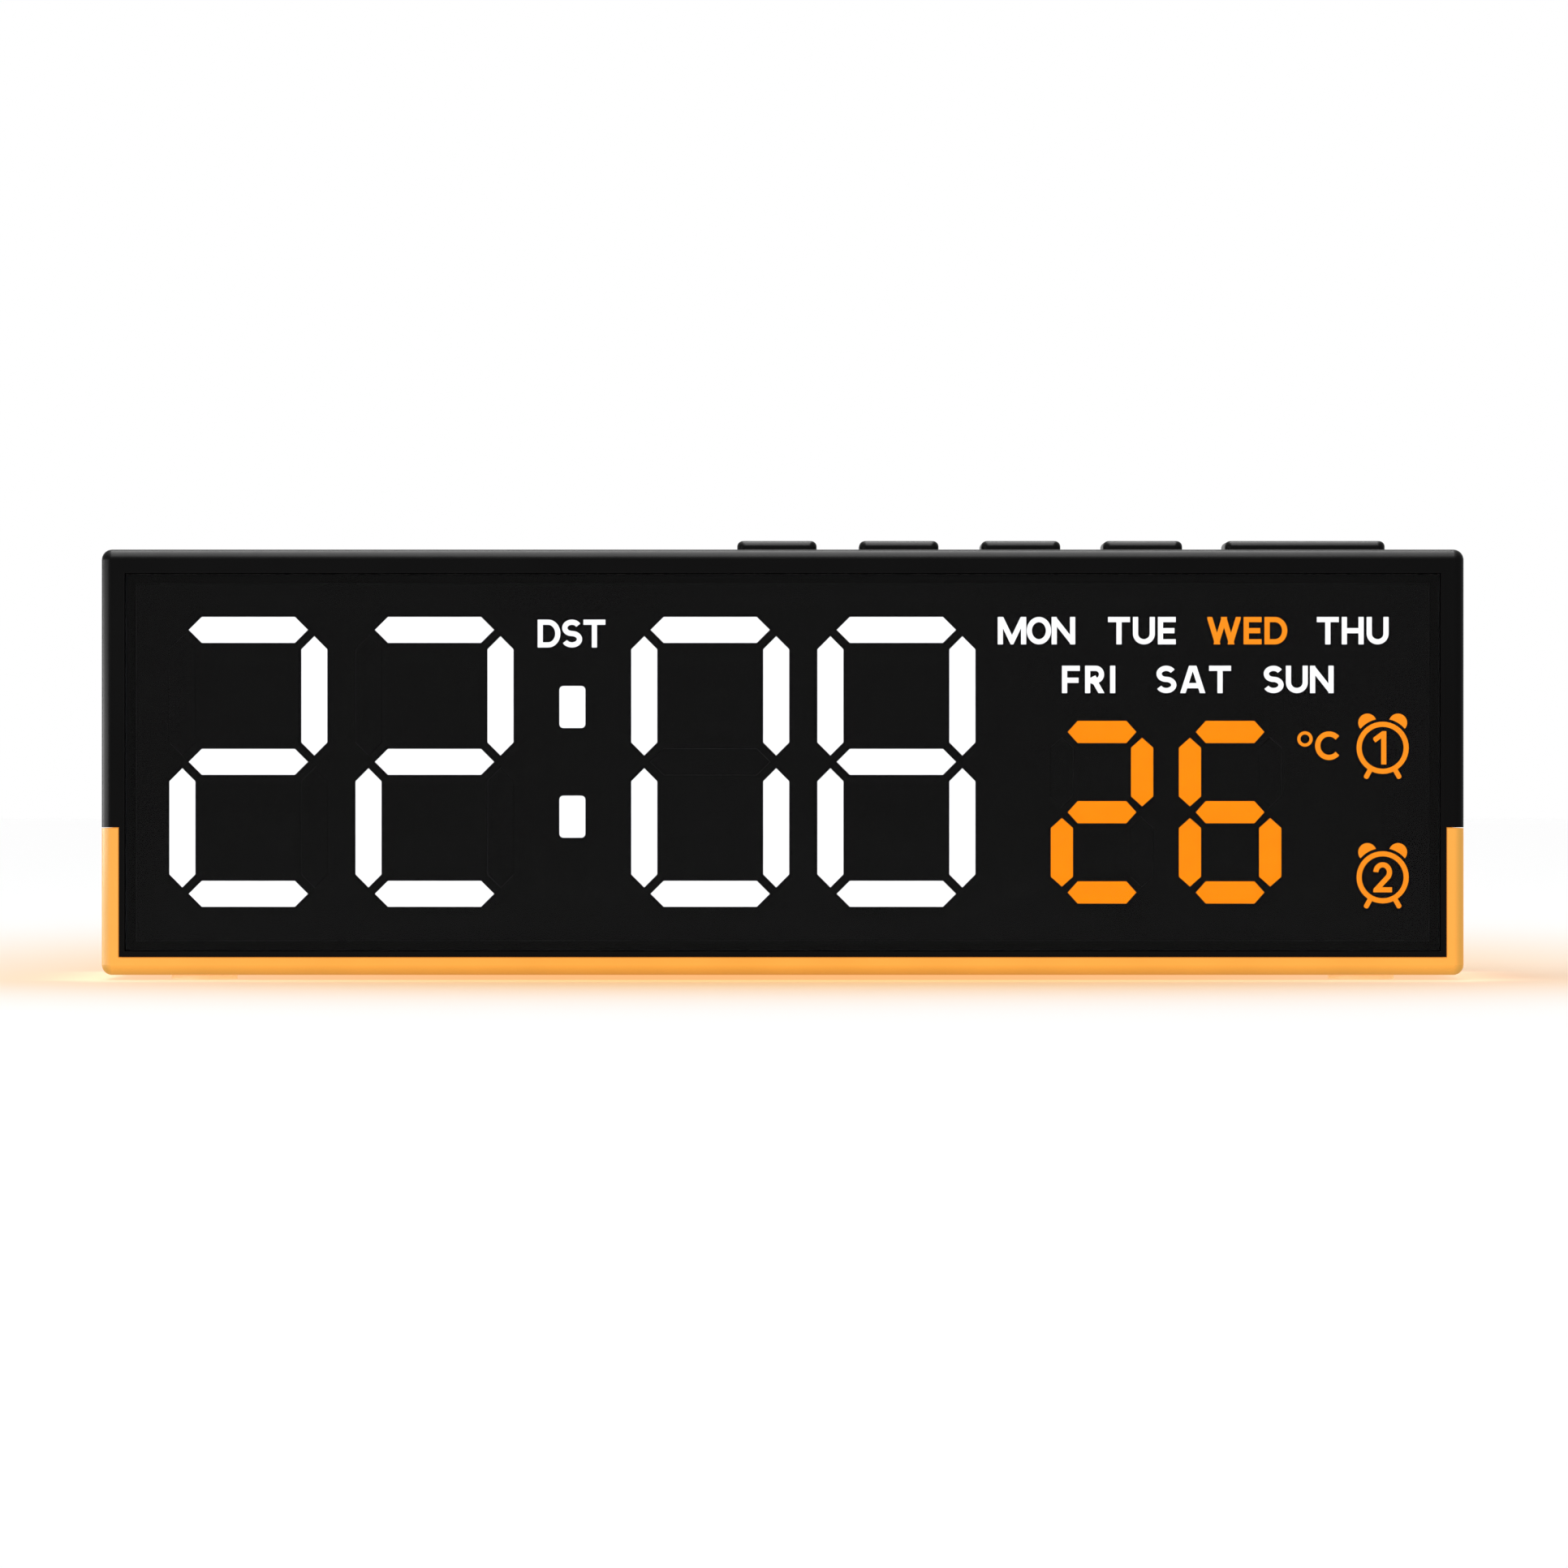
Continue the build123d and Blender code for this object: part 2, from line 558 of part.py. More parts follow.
def base_screw(x, y, grow=0.0):
    """Countersunk screw that holds the light bar to the housing from below."""
    neck_z = FOOT_TOP_Z + BASE_SCREW_HEAD_HEIGHT
    head = Cone(SCREW_HEAD_RADIUS + grow, SCREW_SHANK_RADIUS + grow, BASE_SCREW_HEAD_HEIGHT)
    shank = rod_z(x, y, SCREW_SHANK_RADIUS + grow, neck_z - OVERCUT, FOOT_TOP_Z + BASE_SCREW_LENGTH)
    return Pos(x, y, (FOOT_TOP_Z + neck_z) / 2) * head + shank


def pan_screw(x, z, seat_y, length):
    """Pan-head screw along Y, with its head to the rear of the seat."""
    head = rod_y(x, z, SCREW_HEAD_RADIUS, seat_y, seat_y + SCREW_HEAD_HEIGHT)
    head = fillet(head.faces().sort_by(Axis.Y)[-1].edges(), SCREW_HEAD_HEIGHT / 2)
    shank = rod_y(x, z, SCREW_SHANK_RADIUS, seat_y - length, seat_y)
    cross_y = (seat_y + SCREW_HEAD_HEIGHT - SCREW_CROSS_DEPTH, seat_y + SCREW_HEAD_HEIGHT + OVERCUT)
    arms = [(SCREW_CROSS_LENGTH, SCREW_CROSS_WIDTH), (SCREW_CROSS_WIDTH, SCREW_CROSS_LENGTH)]
    return head + shank - [front_prism(Pos(x, z) * Rectangle(*arm), *cross_y) for arm in arms]


def light_bar():
    """Amber channel that wraps the base and both lower ends, flush with the case."""
    band = span_box(-WIDTH, WIDTH, -DEPTH, DEPTH, BASE_Z - OVERCUT, WING_TOP_Z)
    core = wide_box(0, BAR_INNER_X, -DEPTH, DEPTH, BAR_INNER_Z, TOP_Z)
    bar = (case_block() & band) - core
    for x, y in foot_places():
        pocket = rod_z(x, y, FOOT_RADIUS + JOINT_GAP, BASE_Z - OVERCUT, FOOT_TOP_Z)
        bar -= [pocket, base_screw(x, y, JOINT_GAP)]
    return bar


def housing_shell():
    """Outer walls of the housing with the lens seat, window, cavity and rear seat cut."""
    above = span_box(-WIDTH, WIDTH, -DEPTH, DEPTH, WING_TOP_Z + JOINT_GAP, TOP_Z + OVERCUT)
    inside = wide_box(0, BAR_INNER_X - JOINT_GAP, -DEPTH, DEPTH, BAR_INNER_Z + JOINT_GAP, TOP_Z)
    shell = case_block() & (above + inside)
    panel = (0, PANEL_X)
    shell -= wide_box(*panel, FRONT_Y - OVERCUT, LENS_BACK_Y, PANEL_BOTTOM_Z, PANEL_TOP_Z)
    shell -= wide_box(*panel, COVER_INNER_Y, REAR_Y + OVERCUT, PANEL_BOTTOM_Z, PANEL_TOP_Z)
    shell -= wide_box(*panel, FRONT_WALL_BACK_Y, REAR_Y, SHOULDER_Z, PANEL_TOP_Z)
    return shell - wide_box(0, WINDOW_X, -DEPTH, DEPTH, WINDOW_BOTTOM_Z, WINDOW_TOP_Z)


def upright_web(x, z, y0, y1):
    """Rib from a post on x and z into the floor or the ceiling, whichever is nearer."""
    wall_z = PANEL_TOP_Z + RIM_LIP / 2 if z > TIME_Z else PANEL_BOTTOM_Z
    return wide_box(x, RIB_WIDTH / 2, y0, y1, *sorted((z, wall_z)))


def cover_boss(x, z):
    """Screw post for the rear cover, with ribs to the nearest walls, and its pilot hole."""
    depth = (FRONT_WALL_BACK_Y, COVER_INNER_Y)
    wall_x = math.copysign(PANEL_X + RIM_LIP / 2, x)
    side_web = span_box(*sorted((x, wall_x)), *depth, z - RIB_WIDTH / 2, z + RIB_WIDTH / 2)
    pilot_y = REAR_Y - SCREW_SINK - COVER_SCREW_LENGTH - PILOT_SPARE
    pilot = rod_y(x, z, SCREW_SHANK_RADIUS + THREAD_GAP, pilot_y, REAR_Y)
    return rod_y(x, z, BOSS_RADIUS, *depth) + side_web + upright_web(x, z, *depth), pilot


def board_boss(x, z):
    """Screw post for the display board, with a rib to the floor or the ceiling, and its pilot hole."""
    depth = (FRONT_WALL_BACK_Y, BOARD_FRONT_Y)
    pilot_y = BOARD_BACK_Y - BOARD_SCREW_LENGTH - PILOT_SPARE
    pilot = rod_y(x, z, SCREW_SHANK_RADIUS + THREAD_GAP, pilot_y, BOARD_BACK_Y)
    return rod_y(x, z, BOSS_RADIUS, *depth) + upright_web(x, z, *depth), pilot


def base_boss(x, y):
    """Screw post on the floor for a base screw, and the screw's hole."""
    post = rod_z(x, y, BOSS_RADIUS, BAR_INNER_Z + JOINT_GAP, BASE_BOSS_TOP_Z)
    return post, base_screw(x, y, THREAD_GAP)


def strip_channel():
    """Groove for the light strip under the floor, with a slot for its tail."""
    half = STRIP_LENGTH / 2 + JOINT_GAP
    front_y = STRIP_FRONT_Y - JOINT_GAP
    back_y = STRIP_FRONT_Y + STRIP_WIDTH + JOINT_GAP
    groove = wide_box(0, half, front_y, back_y, BAR_INNER_Z, CHANNEL_TOP_Z)
    slot_back_y = STRIP_FRONT_Y + STRIP_TAIL_THICKNESS + JOINT_GAP
    slot_half = STRIP_TAIL_WIDTH / 2 + JOINT_GAP
    slot = wide_box(STRIP_TAIL_X, slot_half, front_y, slot_back_y, BAR_INNER_Z, WINDOW_BOTTOM_Z + OVERCUT)
    return [groove, slot]


def button_slot(x, width):
    """Opening in the top wall for one button, with room below for its travel."""
    size = (width + 2 * BUTTON_GAP, BUTTON_DEPTH + 2 * BUTTON_GAP)
    outline = Pos(x, BUTTON_Y) * RectangleRounded(*size, BUTTON_CORNER + BUTTON_GAP)
    return top_prism(outline, FLANGE_BOTTOM_Z - TRAVEL_ROOM, TOP_Z + OVERCUT)


def housing():
    """Black case body that carries everything else."""
    posts = [cover_boss(*place) for place in cover_screw_places()]
    posts += [board_boss(*place) for place in board_screw_places()]
    posts += [base_boss(*place) for place in foot_places()]
    body = housing_shell() + [post for post, pilot in posts]
    body -= [pilot for post, pilot in posts]
    body -= strip_channel()
    return body - [button_slot(x, width) for name, x, width in button_places()]


def front_lens():
    """Smoked window, flush with the front of the housing."""
    levels = (PANEL_BOTTOM_Z + JOINT_GAP, PANEL_TOP_Z - JOINT_GAP)
    return wide_box(0, PANEL_X - JOINT_GAP, FRONT_Y, LENS_BACK_Y, *levels)


def display_mask():
    """Black film with a window for every light segment."""
    levels = (WINDOW_BOTTOM_Z + JOINT_GAP, WINDOW_TOP_Z - JOINT_GAP)
    film = wide_box(0, WINDOW_X - JOINT_GAP, MASK_FRONT_Y, MASK_BACK_Y, *levels)
    cut = (MASK_FRONT_Y - OVERCUT, MASK_BACK_Y + OVERCUT)
    return film - [front_prism(outline, *cut) for outline in window_outlines(SEGMENT_GAP)]


def segment_tiles(outlines):
    """Milky tiles that fill windows of the mask and sit on ledges of the reflector."""
    depth = (MASK_FRONT_Y, MASK_BACK_Y + SEGMENT_SEAT_DEPTH)
    return Compound([front_prism(shape, *depth) for shape in outlines])


def reflector():
    """White light box with a stepped well behind every segment, word and sign."""
    levels = (TIME_BOTTOM_Z - REFLECTOR_MARGIN, TIME_TOP_Z + REFLECTOR_MARGIN)
    block = wide_box(0, REFLECTOR_X, MASK_BACK_Y, BOARD_FRONT_Y, *levels)
    ledge_y = MASK_BACK_Y + SEGMENT_SEAT_DEPTH
    through = (MASK_BACK_Y - OVERCUT, BOARD_FRONT_Y + OVERCUT)
    seats = [front_prism(shape, through[0], ledge_y) for shape in window_outlines(SEGMENT_GAP)]
    wells = [front_prism(shape, *through) for shape in window_outlines(-SEGMENT_SEAT_WIDTH)]
    legends = word_boxes() + sign_boxes()
    boxes = [front_prism(Pos(x, z) * Rectangle(w, h), *through) for x, z, w, h in legends]
    notch = BOSS_RADIUS + NOTCH_GAP
    notches = [rod_y(x, z, notch, *through) for x, z in cover_screw_places() + board_screw_places()]
    notches += [rod_z(x, y, notch, BASE_Z, BASE_BOSS_TOP_Z + NOTCH_GAP) for x, y in foot_places()]
    return block - (seats + wells + boxes + notches)


def led_chips(bars, places):
    """Small light chips on the front of the display board, along bars and level at other places."""
    depth = (BOARD_FRONT_Y - LED_HEIGHT, BOARD_FRONT_Y)
    level = Rectangle(LED_LENGTH, LED_WIDTH)
    upright = Rectangle(LED_WIDTH, LED_LENGTH)
    outlines = [Pos(bar.x, bar.z) * (upright if bar.upright else level) for bar in bars]
    outlines += [Pos(x, z) * level for x, z in places]
    return Compound([front_prism(outline, *depth) for outline in outlines])


def white_leds():
    """Chips behind the time and the words."""
    words = [(x, z) for x, z, width, height in word_boxes()]
    return led_chips(time_segments(), colon_places() + words)


def amber_leds():
    """Chips behind the temperature and the signs."""
    signs = [(x, z) for x, z, width, height in sign_boxes()]
    return led_chips(temperature_segments(), signs)


def small_board(x0, x1, top_z):
    """Circuit board lying flat between the display board and the rear cover."""
    return span_box(x0, x1, SMALL_BOARD_FRONT_Y, SMALL_BOARD_BACK_Y, top_z - BOARD_THICKNESS, top_z)


def pin_places(x):
    """Middle of each pin of a header."""
    return [x + (index - (HEADER_PINS - 1) / 2) * PIN_PITCH for index in range(HEADER_PINS)]


def headers():
    """Middle and board level of the two pin headers."""
    return [(button_gap_x("set", "minus"), BUTTON_BOARD_Z), (POWER_X, POWER_BOARD_Z)]


def header_pin(x, board_z):
    """Bent pin from the display board over and down through a small board."""
    half = PIN_SIZE / 2
    level_z = board_z + HEADER_HEIGHT / 2
    bend_y = PIN_TAIL_Y + half
    run = wide_box(x, half, BOARD_BACK_Y - PIN_DEPTH, bend_y, level_z - half, level_z + half)
    tail_z = board_z - BOARD_THICKNESS - PIN_TAIL
    return run + wide_box(x, half, bend_y - PIN_SIZE, bend_y, tail_z, level_z + half)


def header_pins():
    """All pins of both headers."""
    return Compound([header_pin(x, z) for middle, z in headers() for x in pin_places(middle)])


def header_strips():
    """Plastic strips that hold the pins, on the small boards and against the display board."""
    strips = []
    for middle, z in headers():
        half = HEADER_PINS * PIN_PITCH / 2
        strip = wide_box(middle, half, BOARD_BACK_Y, BOARD_BACK_Y + HEADER_DEPTH, z, z + HEADER_HEIGHT)
        strips.append(strip - [header_pin(x, z) for x in pin_places(middle)])
    return Compound(strips)


def pin_holes_down(x, board_z):
    """Holes in a small board for the tails of its header pins."""
    levels = (board_z - BOARD_THICKNESS - OVERCUT, board_z + OVERCUT)
    return [rod_z(pin, PIN_TAIL_Y, PIN_HOLE_RADIUS, *levels) for pin in pin_places(x)]


def display_board():
    """Circuit board behind the reflector."""
    levels = (WINDOW_BOTTOM_Z + BOARD_GAP, PANEL_TOP_Z - BOARD_GAP)
    plate = wide_box(0, WINDOW_X - BOARD_GAP, BOARD_FRONT_Y, BOARD_BACK_Y, *levels)
    cut = (BOARD_FRONT_Y - OVERCUT, BOARD_BACK_Y + OVERCUT)
    reach = BOSS_RADIUS + NOTCH_GAP
    for x, z in cover_screw_places():
        side = sorted((x - math.copysign(reach, x), math.copysign(WIDTH, x)))
        level = (z - reach, TOP_Z) if z > TIME_Z else (0, z + reach)
        plate -= span_box(*side, *cut, *level)
    plate -= [rod_y(x, z, SCREW_HOLE_RADIUS, *cut) for x, z in board_screw_places()]
    pins = [(pin, z + HEADER_HEIGHT / 2) for x, z in headers() for pin in pin_places(x)]
    return plate - [rod_y(x, z, PIN_HOLE_RADIUS, *cut) for x, z in pins]


def button_board():
    """Board that carries the switches under the buttons."""
    places = button_places()
    left = min(x - width / 2 for name, x, width in places) - BUTTON_BOARD_MARGIN
    right = max(x + width / 2 for name, x, width in places) - BUTTON_BOARD_MARGIN
    board = small_board(left, right, BUTTON_BOARD_Z)
    return board - pin_holes_down(button_gap_x("set", "minus"), BUTTON_BOARD_Z)


def switch_body(x):
    """Square push switch with a well for its plunger."""
    half = SWITCH_SIZE / 2
    body = wide_box(x, half, BUTTON_Y - half, BUTTON_Y + half, BUTTON_BOARD_Z, SWITCH_TOP_Z)
    well_z = SWITCH_TOP_Z - PLUNGER_DEPTH - TRAVEL_ROOM
    return body - rod_z(x, BUTTON_Y, PLUNGER_RADIUS + WIRE_GAP, well_z, SWITCH_TOP_Z + OVERCUT)


def switch_plunger(x):
    """Plunger that a button's stem pushes into its switch."""
    return rod_z(x, BUTTON_Y, PLUNGER_RADIUS, SWITCH_TOP_Z - PLUNGER_DEPTH, STEM_BOTTOM_Z)


def button(x, width):
    """Hollow button with a flange that stops it under the top wall and a stem in its middle."""
    outline = RectangleRounded(width, BUTTON_DEPTH, BUTTON_CORNER)
    cap = top_prism(Pos(x, BUTTON_Y) * outline, FLANGE_BOTTOM_Z, BUTTON_TOP_Z)
    cap = fillet(cap.faces().sort_by(Axis.Z)[-1].edges(), BUTTON_EDGE)
    flange_half = BUTTON_DEPTH / 2 + FLANGE_REACH
    flange_y = (BUTTON_Y - flange_half, BUTTON_Y + flange_half)
    flange = wide_box(x, width / 2 - BUTTON_CORNER, *flange_y, FLANGE_BOTTOM_Z, FLANGE_TOP_Z)
    hollow_size = (width - 2 * BUTTON_WALL, BUTTON_DEPTH - 2 * BUTTON_WALL)
    hollow_top_z = BUTTON_TOP_Z - BUTTON_WALL
    hollow = Pos(x, BUTTON_Y) * Rectangle(*hollow_size)
    stem = rod_z(x, BUTTON_Y, STEM_RADIUS, STEM_BOTTOM_Z, BUTTON_TOP_Z - BUTTON_WALL / 2)
    return cap + flange - top_prism(hollow, FLANGE_BOTTOM_Z - OVERCUT, hollow_top_z) + stem


def usb_outline(grow):
    """Obround outline of the power socket."""
    return Pos(POWER_X, POWER_Z) * SlotOverall(USB_WIDTH + 2 * grow, USB_HEIGHT + 2 * grow)


def usb_shell():
    """Steel shell of the power socket."""
    mouth_y = REAR_Y - USB_RECESS
    sleeve = front_prism(usb_outline(0), mouth_y - USB_LENGTH, mouth_y)
    return sleeve - front_prism(usb_outline(-USB_WALL), mouth_y - USB_LENGTH - OVERCUT, mouth_y + OVERCUT)


def usb_insulator():
    """Plastic back and contact tongue inside the socket."""
    mouth_y = REAR_Y - USB_RECESS
    back_y = mouth_y - USB_LENGTH
    back = front_prism(usb_outline(-USB_WALL), back_y, back_y + USB_BACK)
    half = USB_TONGUE_THICKNESS / 2
    levels = (POWER_Z - half, POWER_Z + half)
    return back + wide_box(POWER_X, USB_TONGUE_WIDTH / 2, back_y, mouth_y - USB_TONGUE_SETBACK, *levels)


def power_board():
    """Board that carries the power socket."""
    half = POWER_BOARD_WIDTH / 2
    board = small_board(POWER_X - half, POWER_X + half, POWER_BOARD_Z)
    return board - pin_holes_down(POWER_X, POWER_BOARD_Z)


def board_fork(x, board_z):
    """Two ribs on the rear cover that hold the rear edge of a small board."""
    depth = (COVER_INNER_Y - FORK_REACH, COVER_INNER_Y + OVERCUT)
    lower_z = board_z - BOARD_THICKNESS - BOARD_GRIP_GAP
    upper_z = board_z + BOARD_GRIP_GAP
    lower = wide_box(x, FORK_WIDTH / 2, *depth, lower_z - FORK_THICKNESS, lower_z)
    return [lower, wide_box(x, FORK_WIDTH / 2, *depth, upper_z, upper_z + FORK_THICKNESS)]


def fork_places():
    """Middle and board level of each fork: between buttons, and beside the power socket."""
    gaps = [button_gap_x("set", "minus"), button_gap_x("alarm", "snooze")]
    sides = [POWER_X + side * POWER_FORK_SPREAD for side in (-1, 1)]
    return [(x, BUTTON_BOARD_Z) for x in gaps] + [(x, POWER_BOARD_Z) for x in sides]


def tab_places():
    """Middle of each door tab."""
    reach = DOOR_WIDTH / 2 - TAB_INSET - TAB_WIDTH / 2
    return [BATTERY_X - reach, BATTERY_X + reach]


def battery_bay():
    """Round tub behind the rear cover for the coin cell."""
    depth = (BAY_FLOOR_Y - BAY_FLOOR, COVER_INNER_Y + CONTACT_THICKNESS)
    return rod_y(BATTERY_X, BATTERY_Z, POCKET_RADIUS + BAY_WALL, *depth)


def battery_bay_cuts():
    """Pocket, contact slots, door recess and tab slots of the battery bay."""
    pocket = rod_y(BATTERY_X, BATTERY_Z, POCKET_RADIUS, BAY_FLOOR_Y, REAR_Y + OVERCUT)
    recess_half = DOOR_WIDTH / 2 + DOOR_GAP
    recess_z = (DOOR_BOTTOM_Z - DOOR_GAP, DOOR_TOP_Z + DOOR_GAP)
    recess = wide_box(BATTERY_X, recess_half, DOOR_SEAT_Y, REAR_Y + OVERCUT, *recess_z)
    side_x = BATTERY_X + COIN_RADIUS
    side_z = (BATTERY_Z - CONTACT_WIDTH / 2 - WIRE_GAP, BATTERY_Z + CONTACT_WIDTH / 2 + WIRE_GAP)
    side_depth = (BAY_FLOOR_Y - BAY_FLOOR - OVERCUT, COVER_INNER_Y)
    side = span_box(side_x - OVERCUT, side_x + CONTACT_THICKNESS + 2 * WIRE_GAP, *side_depth, *side_z)
    tail_z = BATTERY_Z - CONTACT_REACH
    tail_levels = (tail_z - WIRE_GAP, tail_z + CONTACT_THICKNESS + WIRE_GAP)
    floor_depth = (BAY_FLOOR_Y - BAY_FLOOR - OVERCUT, BAY_FLOOR_Y + OVERCUT)
    floor = wide_box(BATTERY_X, CONTACT_WIDTH / 2 + WIRE_GAP, *floor_depth, *tail_levels)
    tab_half = TAB_WIDTH / 2 + DOOR_GAP
    sweep = math.hypot(DOOR_AXIS_Y - COVER_INNER_Y + DOOR_GAP + TAB_THICKNESS, TAB_ROOT) + DOOR_GAP
    tab_z = (DOOR_AXIS_Z - sweep, DOOR_TOP_Z + DOOR_GAP)
    tabs = [wide_box(x, tab_half, COVER_INNER_Y - OVERCUT, REAR_Y, *tab_z) for x in tab_places()]
    return [pocket, recess, side, floor] + tabs


def vent_slots():
    """Row of upright slots that let the buzzer out."""
    slot = Rot(0, 0, 90) * SlotOverall(VENT_LENGTH, VENT_WIDTH)
    offsets = [(index - (VENT_COUNT - 1) / 2) * VENT_PITCH for index in range(VENT_COUNT)]
    depth = (COVER_INNER_Y - OVERCUT, REAR_Y + OVERCUT)
    return [front_prism(Pos(VENT_X + offset, VENT_Z) * slot, *depth) for offset in offsets]


def rear_cover():
    """Rear panel with the battery bay, board forks, vents and power window."""
    levels = (PANEL_BOTTOM_Z + JOINT_GAP, PANEL_TOP_Z - JOINT_GAP)
    plate = wide_box(0, PANEL_X - JOINT_GAP, COVER_INNER_Y, REAR_Y, *levels)
    ribs = [rib for place in fork_places() for rib in board_fork(*place)]
    cover = plate + ribs + battery_bay()
    cut = (COVER_INNER_Y - OVERCUT, REAR_Y + OVERCUT)
    for x, z in cover_screw_places():
        sink = rod_y(x, z, SCREW_HEAD_RADIUS + SCREW_HEAD_GAP, REAR_Y - SCREW_SINK, cut[1])
        cover -= [rod_y(x, z, SCREW_HOLE_RADIUS, *cut), sink]
    return cover - battery_bay_cuts() - vent_slots() - front_prism(usb_outline(USB_WINDOW_GAP), *cut)


def battery_door():
    """Door over the coin cell, hung from two tabs on its rounded upper edge."""
    half = DOOR_WIDTH / 2
    door = wide_box(BATTERY_X, half, DOOR_INNER_Y, REAR_Y, DOOR_BOTTOM_Z, DOOR_AXIS_Z)
    door += rod_x(DOOR_AXIS_Y, DOOR_AXIS_Z, DOOR_THICKNESS / 2, BATTERY_X - half, BATTERY_X + half)
    tab_back_y = COVER_INNER_Y - DOOR_GAP
    tab_depth = (tab_back_y - TAB_THICKNESS, tab_back_y)
    root_z = DOOR_AXIS_Z - TAB_ROOT
    for x in tab_places():
        door += wide_box(x, TAB_WIDTH / 2, *tab_depth, root_z, DOOR_TOP_Z + TAB_REACH)
        door += wide_box(x, TAB_WIDTH / 2, tab_depth[0], DOOR_AXIS_Y, root_z, DOOR_AXIS_Z)
    cut = (DOOR_INNER_Y - OVERCUT, REAR_Y + OVERCUT)
    slit_z = (DOOR_BOTTOM_Z - OVERCUT, DOOR_BOTTOM_Z + LATCH_LENGTH)
    for side in (-1, 1):
        door -= wide_box(BATTERY_X + side * LATCH_WIDTH / 2, LATCH_SLIT / 2, *cut, *slit_z)
    grip_half = LATCH_WIDTH / 2 - LATCH_SLIT
    for index in range(GRIP_COUNT):
        z = DOOR_BOTTOM_Z + (index + 1) * GRIP_PITCH
        groove_z = (z - GRIP_PITCH / 4, z + GRIP_PITCH / 4)
        door -= wide_box(BATTERY_X, grip_half, REAR_Y - GRIP_DEPTH, cut[1], *groove_z)
    return door


def coin_cell():
    """Backup coin cell, with its narrower face to the front."""
    place = (BATTERY_X, BATTERY_Z)
    can = rod_y(*place, COIN_RADIUS, COIN_FRONT_Y + COIN_STEP, COIN_BACK_Y)
    return can + rod_y(*place, COIN_RADIUS - COIN_CAP_INSET, COIN_FRONT_Y, COIN_BACK_Y)


def negative_contact():
    """Strip on the floor of the bay, with a button under the cell and a tail to the display board."""
    half = CONTACT_WIDTH / 2
    top_y = BAY_FLOOR_Y + CONTACT_THICKNESS
    tail_z = BATTERY_Z - CONTACT_REACH
    strip = wide_box(BATTERY_X, half, BAY_FLOOR_Y, top_y, tail_z, BATTERY_Z + half)
    tail = wide_box(BATTERY_X, half, BOARD_BACK_Y, top_y, tail_z, tail_z + CONTACT_THICKNESS)
    return strip + tail + rod_y(BATTERY_X, BATTERY_Z, CONTACT_BUTTON_RADIUS, BAY_FLOOR_Y, COIN_FRONT_Y)


def positive_contact():
    """Leaf beside the rim of the cell, down to the display board."""
    x = BATTERY_X + COIN_RADIUS + WIRE_GAP
    half = CONTACT_WIDTH / 2
    top_y = COVER_INNER_Y - WIRE_GAP
    return span_box(x, x + CONTACT_THICKNESS, BOARD_BACK_Y, top_y, BATTERY_Z - half, BATTERY_Z + half)


def light_strip():
    """Flexible strip in the groove under the floor, with a tail up to its connector."""
    back_y = STRIP_FRONT_Y + STRIP_WIDTH
    strip = wide_box(0, STRIP_LENGTH / 2, STRIP_FRONT_Y, back_y, STRIP_Z, CHANNEL_TOP_Z)
    tail_y = (STRIP_FRONT_Y, STRIP_FRONT_Y + STRIP_TAIL_THICKNESS)
    tail_z = (STRIP_Z, CONNECTOR_Z + CONNECTOR_GRIP)
    return strip + wide_box(STRIP_TAIL_X, STRIP_TAIL_WIDTH / 2, *tail_y, *tail_z)


def light_strip_leds():
    """Lights of the strip, facing down into the light bar."""
    pitch = STRIP_LENGTH / STRIP_LED_COUNT
    middle_y = STRIP_FRONT_Y + STRIP_WIDTH / 2
    lights = []
    for index in range(STRIP_LED_COUNT):
        x = (index - (STRIP_LED_COUNT - 1) / 2) * pitch
        depth = (middle_y - STRIP_LED_WIDTH / 2, middle_y + STRIP_LED_WIDTH / 2)
        lights.append(wide_box(x, STRIP_LED_LENGTH / 2, *depth, STRIP_LED_Z, STRIP_Z))
    return Compound(lights)


def strip_connector():
    """Socket on the display board that grips the tail of the strip."""
    levels = (CONNECTOR_Z, CONNECTOR_Z + CONNECTOR_HEIGHT)
    back_y = BOARD_BACK_Y + CONNECTOR_DEPTH
    body = wide_box(STRIP_TAIL_X, CONNECTOR_WIDTH / 2, BOARD_BACK_Y, back_y, *levels)
    slot_half = STRIP_TAIL_WIDTH / 2 + BOARD_GRIP_GAP
    slot_y = (STRIP_FRONT_Y - BOARD_GRIP_GAP, STRIP_FRONT_Y + STRIP_TAIL_THICKNESS + BOARD_GRIP_GAP)
    slot_z = (CONNECTOR_Z - OVERCUT, CONNECTOR_Z + CONNECTOR_GRIP + BOARD_GRIP_GAP)
    return body - wide_box(STRIP_TAIL_X, slot_half, *slot_y, *slot_z)


def chip(x):
    """Body of a chip on the rear of the display board."""
    depth = (BOARD_BACK_Y + CHIP_STANDOFF, BOARD_BACK_Y + CHIP_STANDOFF + CHIP_HEIGHT)
    return wide_box(x, CHIP_LENGTH / 2, *depth, CHIP_Z - CHIP_WIDTH / 2, CHIP_Z + CHIP_WIDTH / 2)


def chip_leads():
    """Legs along both long sides of the chips."""
    leads = []
    for x in (CONTROLLER_X, DRIVER_X):
        for index in range(CHIP_LEAD_COUNT):
            lead_x = x + (index - (CHIP_LEAD_COUNT - 1) / 2) * CHIP_LEAD_PITCH
            for side in (-1, 1):
                edge_z = CHIP_Z + side * CHIP_WIDTH / 2
                levels = sorted((edge_z, edge_z + side * CHIP_LEAD_LENGTH))
                depth = (BOARD_BACK_Y, BOARD_BACK_Y + CHIP_LEAD_HEIGHT)
                leads.append(wide_box(lead_x, CHIP_LEAD_WIDTH / 2, *depth, *levels))
    return Compound(leads)


